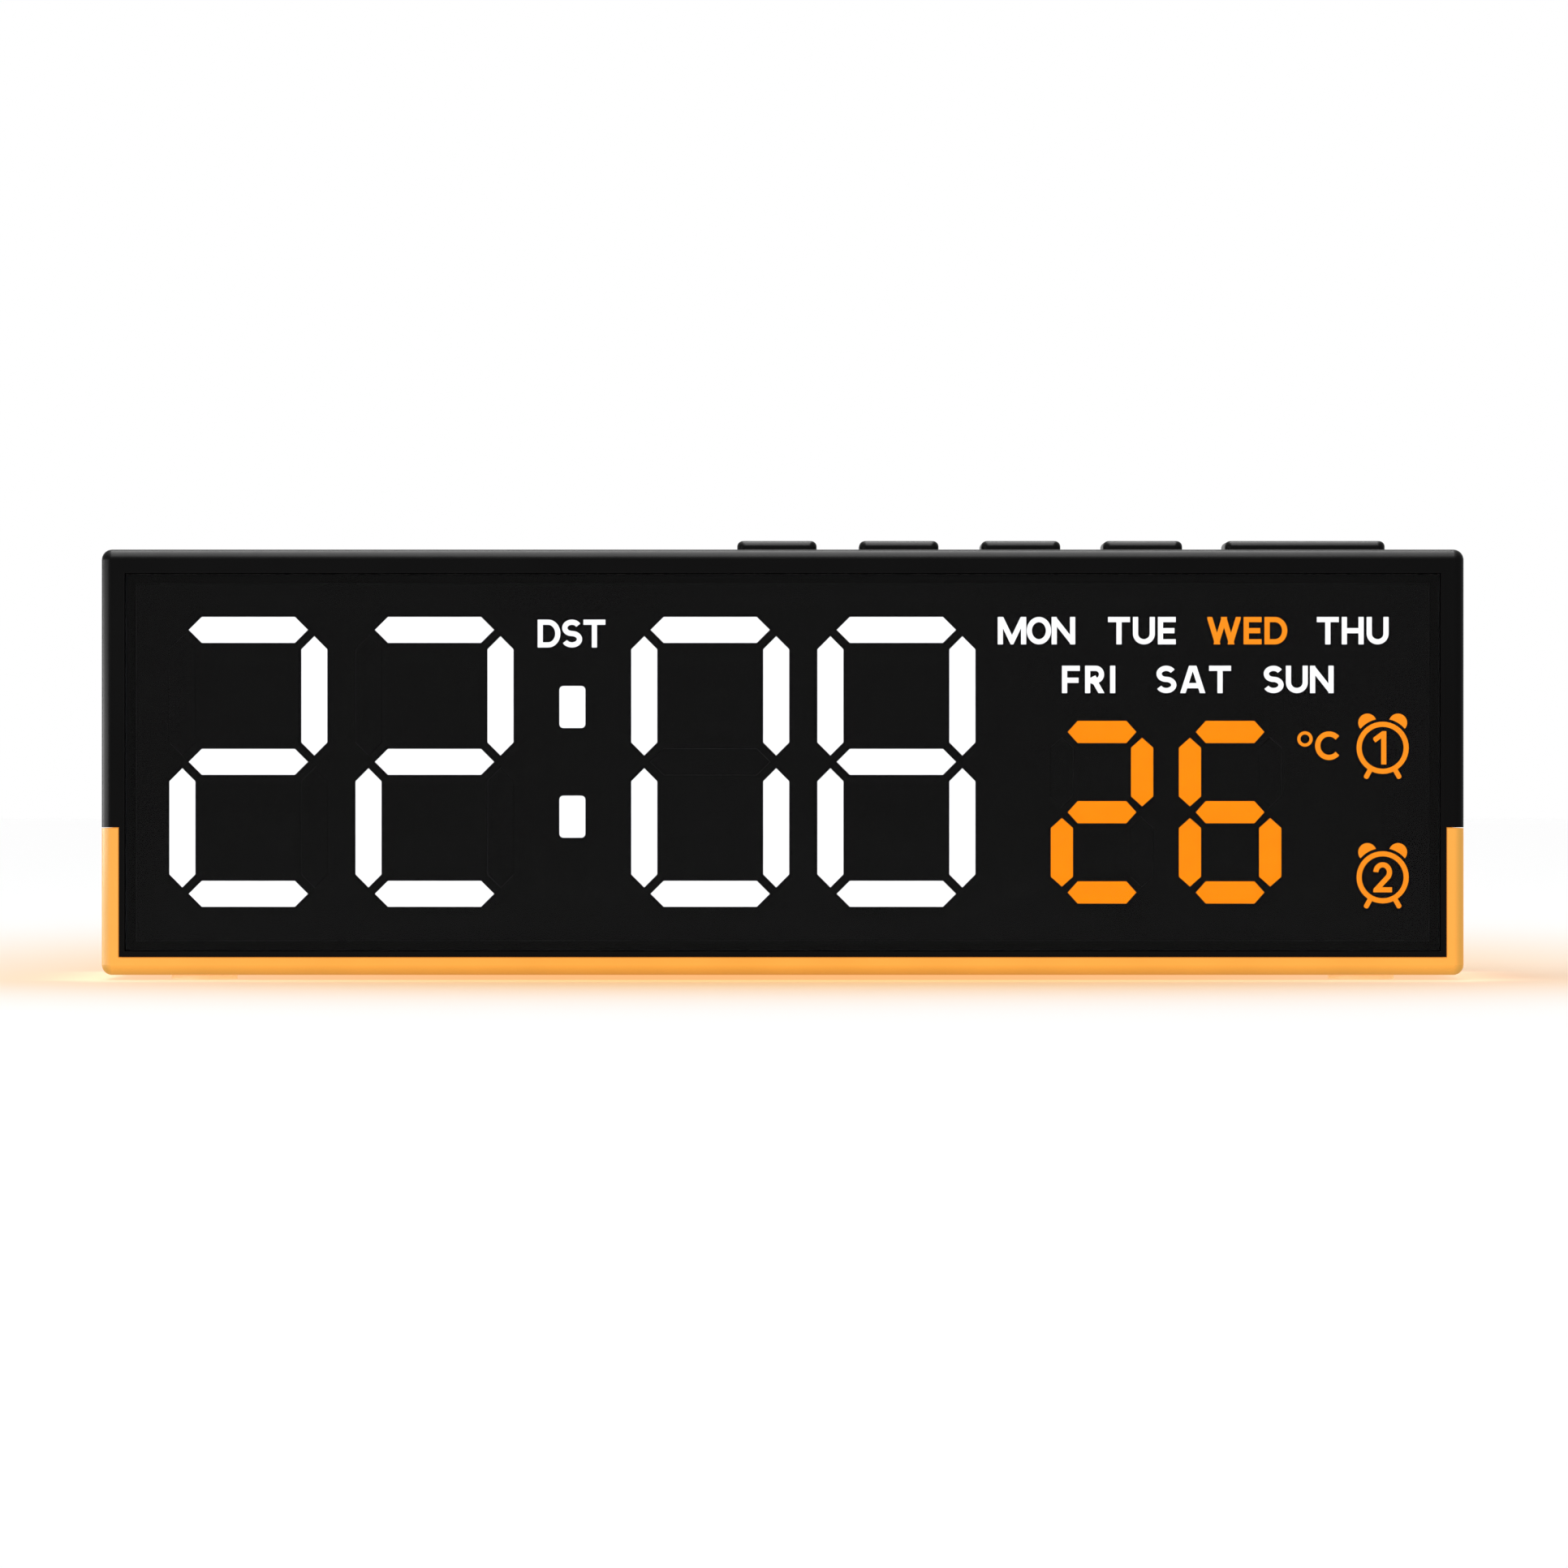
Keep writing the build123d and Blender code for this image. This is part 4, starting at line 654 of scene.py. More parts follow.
LED_BODY = MouldedPlastic(
    "led_pale_resin", (0.78, 0.72, 0.50), 0.35, 0.5, grain=0.1 * MM, colour_spread=0.05, rub=0.0, dust=0.0
)
FOOT_SILICONE = ClearSilicone("foot_clear_silicone_painted_glow")
SMOKED_LENS = SmokedLens("front_smoked_lens")
LIT_WHITE = LitWindow("lit_white_window", Window.WHITE, 4.66)
LIT_AMBER = LitWindow("lit_amber_window", Window.AMBER, 4.7)
LIT_SIGN = LitWindow("lit_amber_sign", Window.SIGN_AMBER, 4.7)
AMBER_DIFFUSER = NightDiffuser("amber_frosted_diffuser")
TINNED_LEAD = BareMetal("tinned_lead_wire", (0.72, 0.71, 0.69), 0.35)
BRIGHT_STEEL = BareMetal("bright_plated_steel", (0.62, 0.61, 0.59), 0.28)
CONTACT_BRASS = BareMetal("contact_sprung_brass", (0.80, 0.62, 0.30), 0.32)
CAN_ALUMINIUM = BareMetal("can_drawn_aluminium", (0.78, 0.78, 0.79), 0.30)
BOARD_GREEN = TrackedBoard("board_green_coat", (0.012, 0.090, 0.035), (0.030, 0.170, 0.060), 2.4 * MM)
FLEX_WHITE = TrackedBoard(
    "flex_white_coat", (0.72, 0.72, 0.70), (0.60, 0.52, 0.40), 4.0 * MM, roughness=0.5
)

Wearers = tuple[tuple[Finish, tuple[str, ...]], ...]

BUTTON_NAMES = ("set", "minus", "plus", "alarm", "snooze")


@dataclass
class SubAssembly:
    """Nodes of one sub-assembly, by the finish that they wear."""

    wearers: Wearers = ()

    def dress(self) -> None:
        """Dresses every node of the sub-assembly."""
        for finish, nodes in self.wearers:
            for node in nodes:
                finish.dress(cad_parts[node])


@dataclass
class CaseShell(SubAssembly):
    """Housing, rear cover, battery door, feet and the screws that hold them."""

    wearers: Wearers = (
        (CASE_BLACK, ("housing",)),
        (COVER_BLACK, ("rear_cover", "battery_door")),
        (FOOT_SILICONE, ("feet",)),
        (BRIGHT_STEEL, ("cover_screws", "base_screws")),
    )


@dataclass
class NightLight(SubAssembly):
    """Amber bar round the base and the strip of lamps behind it."""

    wearers: Wearers = (
        (AMBER_DIFFUSER, ("light_bar",)),
        (FLEX_WHITE, ("light_strip",)),
        (LED_BODY, ("light_strip_leds",)),
        (REFLECTOR_WHITE, ("strip_connector",)),
    )


@dataclass
class ButtonRow(SubAssembly):
    """Five buttons on top, with their switches and their board."""

    wearers: Wearers = (
        (BUTTON_BLACK, tuple(f"{name}_button" for name in BUTTON_NAMES)),
        (CHIP_BLACK, tuple(f"{name}_plunger" for name in BUTTON_NAMES)),
        (CHIP_BLACK, ("switch_bodies", "header_strips")),
        (BOARD_GREEN, ("button_board",)),
        (TINNED_LEAD, ("header_pins",)),
    )


@dataclass
class Electronics(SubAssembly):
    """Boards, chips, sounder, power socket and battery inside the case."""

    wearers: Wearers = (
        (BOARD_GREEN, ("display_board", "power_board")),
        (LED_BODY, ("white_leds", "amber_leds")),
        (CHIP_BLACK, ("controller_chip", "driver_chip", "buzzer", "temperature_sensor", "usb_insulator")),
        (TINNED_LEAD, ("chip_leads",)),
        (CAN_ALUMINIUM, ("quartz_crystal", "filter_capacitor")),
        (BRIGHT_STEEL, ("usb_shell", "coin_cell", "board_screws")),
        (CONTACT_BRASS, ("battery_contact_negative", "battery_contact_positive")),
    )


@dataclass(frozen=True)
class Run:
    """Straight centre lines from point to point, in shares of a letter's width and height.

    Runs that cross lie on layers of their own, so that no two faces share a plane.
    """

    points: tuple[Point, ...]
    layer: int = 0

    def draw(self, pen: "StrokePen") -> None:
        """Draws the lines with a pen."""
        pen.run(self)


@dataclass(frozen=True)
class Bow:
    """A round stretch of centre line, in shares of a letter's width and height."""

    centre: Point
    radii: Point
    start: float
    sweep: float

    def draw(self, pen: "StrokePen") -> None:
        """Draws the bow with a pen."""
        pen.bow(self)


FAR = 2.0
BELOW = -1.0

LETTERS: dict[str, tuple[Run | Bow, ...]] = {
    "A": (
        Run(((-0.04, -0.25), (0.50, 1.25))),
        Run(((1.04, -0.25), (0.50, 1.25)), layer=1),
        Run(((0.13, 0.22), (0.87, 0.22)), layer=2),
    ),
    "C": (Bow((0.52, 0.5), (0.52, 0.5), 42.0, 276.0),),
    "D": (
        Run(((0.45, 0.0), (0.0, 0.0), (0.0, 1.0), (0.45, 1.0))),
        Bow((0.45, 0.5), (0.55, 0.5), -90.0, 180.0),
    ),
    "E": (
        Run(((FAR, 1.0), (0.0, 1.0), (0.0, 0.5), (0.0, 0.0), (FAR, 0.0))),
        Run(((0.0, 0.5), (1.1, 0.5))),
    ),
    "F": (
        Run(((FAR, 1.0), (0.0, 1.0), (0.0, 0.46), (0.0, BELOW))),
        Run(((0.0, 0.46), (1.1, 0.46))),
    ),
    "H": (
        Run(((0.0, BELOW), (0.0, 0.5), (0.0, FAR))),
        Run(((1.0, BELOW), (1.0, 0.5), (1.0, FAR))),
        Run(((0.0, 0.5), (1.0, 0.5))),
    ),
    "I": (Run(((0.5, BELOW), (0.5, FAR))),),
    "M": (
        Run(((0.0, BELOW), (0.0, FAR))),
        Run(((-0.06, 1.25), (0.5, 0.03), (1.06, 1.25)), layer=1),
        Run(((1.0, BELOW), (1.0, FAR))),
    ),
    "N": (
        Run(((0.0, BELOW), (0.0, FAR))),
        Run(((-0.14, 1.17), (1.14, -0.17)), layer=1),
        Run(((1.0, BELOW), (1.0, FAR))),
    ),
    "O": (Bow((0.5, 0.5), (0.5, 0.5), 0.0, FULL_TURN),),
    "R": (
        Run(((0.0, BELOW), (0.0, 0.45), (0.0, 1.0), (0.55, 1.0))),
        Bow((0.55, 0.725), (0.4, 0.275), -90.0, 180.0),
        Run(((0.0, 0.45), (0.55, 0.45), (1.06, -0.25))),
    ),
    "S": (
        Bow((0.5, 0.75), (0.47, 0.25), 28.0, 242.0),
        Bow((0.5, 0.25), (0.5, 0.25), 90.0, -246.0),
    ),
    "T": (
        Run(((BELOW, 1.0), (0.5, 1.0), (FAR, 1.0))),
        Run(((0.5, 1.0), (0.5, BELOW))),
    ),
    "U": (
        Run(((0.0, FAR), (0.0, 0.36))),
        Bow((0.5, 0.36), (0.5, 0.36), 180.0, 180.0),
        Run(((1.0, 0.36), (1.0, FAR))),
    ),
    "W": (
        Run(((-0.05, 1.25), (0.31, -0.25))),
        Run(((0.19, -0.25), (0.55, 1.25)), layer=1),
        Run(((0.81, -0.25), (0.45, 1.25))),
        Run(((1.05, 1.25), (0.69, -0.25)), layer=1),
    ),
    "1": (Run(((-0.25, 0.76), (1.0, 1.02), (1.0, BELOW))),),
    "2": (
        Bow((0.5, 0.70), (0.5, 0.30), 178.0, -222.0),
        Run(((0.88, 0.507), (0.02, 0.0), (FAR, 0.0)), layer=1),
    ),
}


@dataclass
class StrokePen:
    """Draws one letter from centre lines and gives them a width and a depth."""

    width: float
    height: float
    stroke: float
    depth: float
    lines: bmesh.types.BMesh = field(default_factory=bmesh.new)

    def at(self, point: Point) -> Place:
        """Turns shares of the letter into its own lengths.

        Args:
            point: shares of the width and height between the outer centre lines.

        Returns:
            The place on the letter's own plane.
        """
        half = self.stroke / 2
        across = half + point[0] * (self.width - self.stroke)
        up = half + point[1] * (self.height - self.stroke)
        return (across, 0.0, up)

    def run(self, run: Run) -> None:
        """Joins points by straight centre lines.

        Args:
            run: the points and their layer.
        """
        ends = [self.lines.verts.new(self.at(point)) for point in run.points]
        bmesh.ops.translate(self.lines, vec=(0.0, run.layer * LAYER_STEP, 0.0), verts=ends)
        for start, end in zip(ends, ends[1:]):
            self.lines.edges.new((start, end))

    def bow(self, bow: Bow) -> None:
        """Spins a point into a round stretch of centre line.

        Args:
            bow: centre, radii and angles of the stretch.
        """
        count = len(self.lines.verts)
        first = math.radians(bow.start)
        seed = self.lines.verts.new((math.cos(first), 0.0, math.sin(first)))
        bmesh.ops.spin(
            self.lines,
            geom=[seed],
            cent=(0.0, 0.0, 0.0),
            axis=(0.0, -1.0, 0.0),
            angle=math.radians(bow.sweep),
            steps=max(1, round(abs(bow.sweep) / ARC_STEP_DEGREES)),
            use_merge=bow.sweep == FULL_TURN,
        )
        self.lines.verts.ensure_lookup_table()
        spun = self.lines.verts[count:]
        across = bow.radii[0] * (self.width - self.stroke)
        up = bow.radii[1] * (self.height - self.stroke)
        bmesh.ops.scale(self.lines, vec=(across, 1.0, up), verts=spun)
        bmesh.ops.translate(self.lines, vec=self.at(bow.centre), verts=spun)

    def solid(self) -> bpy.types.Mesh:
        """Gives the centre lines their depth and width, and trims the letter to its box.

        Returns:
            The letter's mesh, with its lower left corner at the origin.
        """
        bmesh.ops.remove_doubles(self.lines, verts=self.lines.verts[:], dist=MERGE_GAP)
        walls = bmesh.ops.extrude_edge_only(self.lines, edges=self.lines.edges[:])
        raised = only(bmesh.types.BMVert, walls["geom"])
        bmesh.ops.translate(self.lines, vec=(0.0, self.depth, 0.0), verts=raised)
        bmesh.ops.recalc_face_normals(self.lines, faces=self.lines.faces[:])
        thick = widened(as_mesh(self.lines, "letter_walls"), self.stroke)
        trimmed = bmesh.new()
        trimmed.from_mesh(thick)
        bpy.data.meshes.remove(thick)
        for corner, outward in (
            ((0.0, 0.0, 0.0), (-1.0, 0.0, 0.0)),
            ((self.width, 0.0, 0.0), (1.0, 0.0, 0.0)),
            ((0.0, 0.0, 0.0), (0.0, 0.0, -1.0)),
            ((0.0, 0.0, self.height), (0.0, 0.0, 1.0)),
        ):
            rim = cut_off(trimmed, corner, outward)
            bmesh.ops.holes_fill(trimmed, edges=[edge for edge in rim if edge.is_boundary], sides=0)
        return as_mesh(trimmed, "letter_solid")


def only(kind: type, parts: list[object]) -> list[object]:
    """Picks the parts of one kind, such as the vertices."""
    return [part for part in parts if isinstance(part, kind)]


def as_mesh(shape: bmesh.types.BMesh, name: str) -> bpy.types.Mesh:
    """Turns a bmesh into a mesh and frees it.

    Args:
        shape: the bmesh.
        name: name of the mesh.

    Returns:
        The mesh.
    """
    made = bpy.data.meshes.new(name)
    shape.to_mesh(made)
    shape.free()
    return made


def placed(name: str, data: bpy.types.ID) -> bpy.types.Object:
    """Makes an object and puts it in the scene.

    Args:
        name: name of the object.
        data: its mesh, lamp or camera.

    Returns:
        The object.
    """
    made = bpy.data.objects.new(name, data)
    bpy.context.scene.collection.objects.link(made)
    return made


def widened(walls: bpy.types.Mesh, stroke: float) -> bpy.types.Mesh:
    """Thickens thin walls to a stroke, with their joints kept clean.

    Args:
        walls: mesh of walls on the strokes' centre lines; it is used up.
        stroke: width of the strokes.

    Returns:
        The thick mesh.
    """
    holder = placed("letter_holder", walls)
    thick = holder.modifiers.new("stroke", "SOLIDIFY")
    thick.solidify_mode = "NON_MANIFOLD"
    thick.nonmanifold_thickness_mode = "EVEN"
    thick.nonmanifold_merge_threshold = 0.0
    thick.thickness = stroke
    thick.offset = 0.0
    ready = holder.evaluated_get(bpy.context.evaluated_depsgraph_get())
    made = bpy.data.meshes.new_from_object(ready)
    bpy.data.objects.remove(holder)
    bpy.data.meshes.remove(walls)
    return made


def cut_off(shape: bmesh.types.BMesh, point: Place, outward: Place) -> list[bmesh.types.BMEdge]:
    """Cuts a shape by a plane and drops the outer side.

    Args:
        shape: the bmesh.
        point: point on the plane.
        outward: direction that is dropped.

    Returns:
        The edges along the cut.
    """
    parts = shape.verts[:] + shape.edges[:] + shape.faces[:]
    cut = bmesh.ops.bisect_plane(
        shape, geom=parts, dist=MERGE_GAP, plane_co=point, plane_no=outward, clear_outer=True
    )
    return only(bmesh.types.BMEdge, cut["geom_cut"])


def deepen(shape: bmesh.types.BMesh, depth: float) -> None:
    """Gives a flat outline on the face's plane its depth.

    Args:
        shape: bmesh with flat faces.
        depth: how far back it goes.
    """
    grown = bmesh.ops.extrude_face_region(shape, geom=shape.faces[:])
    moved = only(bmesh.types.BMVert, grown["geom"])
    bmesh.ops.translate(shape, vec=(0.0, depth, 0.0), verts=moved)


def leaned(part: bpy.types.Mesh, degrees: float) -> bpy.types.Mesh:
    """Leans a mesh to the right about the face's own axis and gives it back."""
    part.transform(Matrix.Rotation(math.radians(degrees), 4, "Y"))
    return part


def level_sheet(width: float, length: float) -> bmesh.types.BMesh:
    """Makes a level sheet round the origin.

    Args:
        width: its size along x.
        length: its size along y.

    Returns:
        The sheet.
    """
    shape = bmesh.new()
    grid = bmesh.ops.create_grid(shape, x_segments=1, y_segments=1, size=UNIT_HALF)
    bmesh.ops.scale(shape, verts=grid["verts"], vec=(width, length, 1.0))
    return shape


@dataclass
class FaceSign:
    """One piece of the display's words and signs, gathered from letters and shapes."""

    name: str
    finish: Finish
    slot: Slot
    shape: bmesh.types.BMesh = field(default_factory=bmesh.new)

    def add(self, part: bpy.types.Mesh, place: Vector) -> None:
        """Adds a part to the piece.

        Args:
            part: mesh of the part, which is used up.
            place: where the part's origin goes.
        """
        count = len(self.shape.verts)
        self.shape.from_mesh(part)
        self.shape.verts.ensure_lookup_table()
        bmesh.ops.translate(self.shape, vec=place, verts=self.shape.verts[count:])
        bpy.data.meshes.remove(part)

    def finished(self) -> bpy.types.Object:
        """Closes the piece, dresses it and lets it ride on the case.

        Returns:
            The finished object.
        """
        bmesh.ops.remove_doubles(self.shape, verts=self.shape.verts[:], dist=MERGE_GAP)
        bmesh.ops.recalc_face_normals(self.shape, faces=self.shape.faces[:])
        piece = placed(self.name, as_mesh(self.shape, self.name))
        self.finish.dress(piece)
        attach(piece, BODY)
        return piece


@dataclass(frozen=True)
class WordRow:
    """Words at an even pitch, with the x of the row's middle and the z of its base line."""

    words: tuple[str, ...]
    middle: float
    base: float
    height: float
    pitch: float = 0.0

    def centre(self, index: int) -> float:
        """Gives the x of a word's middle."""
        return self.middle + (index - (len(self.words) - 1) / 2) * self.pitch


@dataclass(frozen=True)
class AlarmFigure:
    """Figure of one alarm sign, with its shift to the left in widths and the z of its ring's middle."""

    piece: str
    figure: str
    width: float
    height: float
    shift: float
    ring_z: float


@dataclass
class DisplayFace(SubAssembly):
    """Smoked lens, black mask, lit bars, and the words and signs printed as windows in the mask."""

    wearers: Wearers = (
        (SMOKED_LENS, ("front_lens",)),
        (MASK_BLACK, ("display_mask",)),
        (LIT_WHITE, ("time_segments_lit", "colon_dots")),
        (LIT_AMBER, ("temperature_segments_lit",)),
        (UNLIT_RESIN, ("time_segments_dark", "temperature_segments_dark")),
        (REFLECTOR_WHITE, ("reflector",)),
    )
    sign_depth: float = 0.06 * MM
    sign_sink: float = 0.02 * MM

    letter_stroke: float = 0.63 * MM
    rows: tuple[WordRow, ...] = (
        WordRow(("MON", "TUE", "WED", "THU"), 49.94 * MM, 40.67 * MM, 3.32 * MM, 12.78 * MM),
        WordRow(("FRI", "SAT", "SUN"), 49.81 * MM, 34.76 * MM, 3.32 * MM, 12.72 * MM),
        WordRow(("DST",), -25.6 * MM, 40.29 * MM, 3.38 * MM),
    )
    today: str = "WED"
    summer_time: str = "DST"

    degree_x: float = 63.32 * MM
    degree_z: float = 29.20 * MM
    degree_across: float = 1.86 * MM
    degree_stroke: float = 0.38 * MM
    scale_letter_x: float = 64.55 * MM
    scale_letter_z: float = 26.64 * MM
    scale_letter_width: float = 3.26 * MM
    scale_letter_height: float = 3.48 * MM

    alarm_x: float = 72.74 * MM
    alarm_across: float = 6.33 * MM
    alarm_stroke: float = 0.62 * MM
    alarms: tuple[AlarmFigure, ...] = (
        AlarmFigure("alarm_sign_one", "1", 1.58 * MM, 4.03 * MM, 0.22, 28.13 * MM),
        AlarmFigure("alarm_sign_two", "2", 2.27 * MM, 3.65 * MM, 0.0, 12.43 * MM),
    )
    bell_centre: float = 3.56 * MM
    bell_radius: float = 1.11 * MM
    bell_sides: int = 40
    bell_seat: float = 3.54 * MM
    bell_seat_cuts: int = 12
    bell_lean: float = 31.4
    leg_lean: float = 29.5
    leg_start: float = 2.95 * MM
    leg_end: float = 4.27 * MM
    leg_width: float = 0.60 * MM
    leg_rounding: float = 0.4
    leg_round_steps: int = 5

    letter_widths_mm: dict[str, float] = field(
        default_factory=lambda: dict(
            A=3.06, D=2.76, E=2.17, F=2.17, H=2.66, I=0.63, M=3.45, N=2.86, O=2.96, R=2.40, S=2.47,
            T=2.66, U=2.66, W=4.04,
        )
    )
    word_gaps_mm: dict[str, float] = field(
        default_factory=lambda: dict(
            MON=0.06, TUE=0.36, WED=0.36, THU=0.36, FRI=0.63, SAT=0.45, SUN=0.27, DST=0.16
        )
    )

    def on_face(self, x: float, z: float) -> Vector:
        """Gives a point on the signs' front plane, just proud of the mask."""
        return Vector((x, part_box("display_mask")[0].y + self.sign_sink - self.sign_depth, z))

    def letter(self, letter: str, width: float, height: float, stroke: float) -> bpy.types.Mesh:
        """Draws one letter or figure.

        Args:
            letter: the letter.
            width: its width.
            height: its height.
            stroke: its line width.

        Returns:
            The letter's mesh, with its lower left corner at the origin.
        """
        pen = StrokePen(width, height, stroke, self.sign_depth)
        for line in LETTERS[letter]:
            line.draw(pen)
        return pen.solid()

    def add_word(self, sign: FaceSign, word: str, centre: float, row: WordRow) -> None:
        """Adds a word's letters to a piece.

        Args:
            sign: the piece.
            word: the word.
            centre: x of the word's middle.
            row: the row that it stands in.
        """
        gap = self.word_gaps_mm[word] * MM
        widths = [self.letter_widths_mm[letter] * MM for letter in word]
        left = centre - (sum(widths) + gap * (len(word) - 1)) / 2
        for letter, width in zip(word, widths):
            part = self.letter(letter, width, row.height, self.letter_stroke)
            sign.add(part, self.on_face(left, row.base))
            left += width + gap

    def add_ring(self, sign: FaceSign, across: float, stroke: float, centre: Vector) -> None:
        """Adds a ring of an outer width and a line width to a piece."""
        ring = self.letter("O", across, across, stroke)
        sign.add(ring, centre - Vector((across / 2, 0.0, across / 2)))

    def bell(self) -> bpy.types.Mesh:
        """Makes a bell: a disc with its lower side cut to the clock sign's own curve.

        Returns:
            The bell's mesh over the sign's middle, upright.
        """
        shape = bmesh.new()
        disc = bmesh.ops.create_circle(
            shape, cap_ends=True, segments=self.bell_sides, radius=self.bell_radius
        )
        bmesh.ops.rotate(shape, verts=disc["verts"], matrix=UPRIGHT)
        bmesh.ops.translate(shape, verts=disc["verts"], vec=(0.0, 0.0, self.bell_centre))
        half_chord = math.sqrt(self.bell_radius**2 - (self.bell_centre - self.bell_seat) ** 2)
        seat = math.sqrt(self.bell_seat**2 - half_chord**2)
        chord = cut_off(shape, (0.0, 0.0, seat), (0.0, 0.0, -1.0))
        split = bmesh.ops.subdivide_edges(shape, edges=chord, cuts=self.bell_seat_cuts)
        for vert in only(bmesh.types.BMVert, split["geom_inner"]):
            vert.co.z = math.sqrt(self.bell_seat**2 - vert.co.x**2)
        deepen(shape, self.sign_depth)
        return as_mesh(shape, "alarm_bell")

    def leg(self) -> bpy.types.Mesh:
        """Makes a leg of the clock sign, straight down from its middle.

        Returns:
            The leg's mesh.
        """
        length = self.leg_end - self.leg_start
        shape = level_sheet(self.leg_width, length)
        bmesh.ops.rotate(shape, verts=shape.verts[:], matrix=UPRIGHT)
        bmesh.ops.translate(shape, verts=shape.verts[:], vec=(0.0, 0.0, -self.leg_start - length / 2))
        bmesh.ops.bevel(
            shape,
            geom=[vert for vert in shape.verts if vert.co.z < MERGE_GAP - self.leg_end],
            offset=self.leg_width * self.leg_rounding,
            affect="VERTICES",
            segments=self.leg_round_steps,
            profile=0.5,
            material=-1,
        )
        deepen(shape, self.sign_depth)
        return as_mesh(shape, "alarm_leg")

    def alarm_sign(self, alarm: AlarmFigure) -> FaceSign:
        """Makes one alarm sign: a clock with two bells, two legs and a figure.

        Args:
            alarm: the figure and its place.

        Returns:
            The sign.
        """
        sign = FaceSign(alarm.piece, LIT_SIGN, Slot.LIT_AMBER)
        middle = self.on_face(self.alarm_x, alarm.ring_z)
        self.add_ring(sign, self.alarm_across, self.alarm_stroke, middle)
        for side in (-1.0, 1.0):
            sign.add(leaned(self.bell(), side * self.bell_lean), middle)
            sign.add(leaned(self.leg(), -side * self.leg_lean), middle + Vector((0.0, LAYER_STEP, 0.0)))
        figure = self.letter(alarm.figure, alarm.width, alarm.height, self.alarm_stroke)
        left = alarm.width / 2 + alarm.shift * alarm.width
        sign.add(figure, middle - Vector((left, 0.0, alarm.height / 2)))
        return sign

    def build_signs(self) -> list[bpy.types.Object]:
        """Makes the words and signs of the face.

        Returns:
            The finished pieces.
        """
        plain = FaceSign("weekday_words_white", LIT_WHITE, Slot.LIT_WHITE)
        today = FaceSign("weekday_word_amber", LIT_SIGN, Slot.LIT_AMBER)
        summer = FaceSign("summer_time_word", LIT_WHITE, Slot.LIT_WHITE)
        degree = FaceSign("degree_sign", LIT_SIGN, Slot.LIT_AMBER)
        apart = {self.today: today, self.summer_time: summer}
        for row in self.rows:
            for index, word in enumerate(row.words):
                self.add_word(apart.get(word, plain), word, row.centre(index), row)
        ring_middle = self.on_face(self.degree_x, self.degree_z)
        self.add_ring(degree, self.degree_across, self.degree_stroke, ring_middle)
        degree.add(
            self.letter("C", self.scale_letter_width, self.scale_letter_height, self.letter_stroke),
            self.on_face(self.scale_letter_x, self.scale_letter_z),
        )
        signs = [plain, today, summer, degree, *(self.alarm_sign(alarm) for alarm in self.alarms)]
        return [sign.finished() for sign in signs]


@dataclass(frozen=True)
class ShinePanel:
    """A panel, long from front to back, that shows only as a soft shine on rounded edges.

    Its tilt turns it about the front-to-back axis; at 0 it is level and shines down.
    """

    name: str
    size: Point
    middle: Place
    tilt: float
    light: float

    def hang(self) -> None:
        """Hangs the panel, unseen by the camera and dark to all but gloss."""
        lamp = bpy.data.lights.new(self.name, "AREA")
        lamp.shape = "RECTANGLE"
        lamp.size, lamp.size_y = self.size
        lamp.energy = self.light * math.pi * lamp.size * lamp.size_y
        holder = placed(self.name, lamp)
        holder.location = self.middle
        holder.rotation_euler = (0.0, math.radians(self.tilt), 0.0)
        holder.visible_camera = False
        holder.visible_diffuse = False
        holder.visible_transmission = False


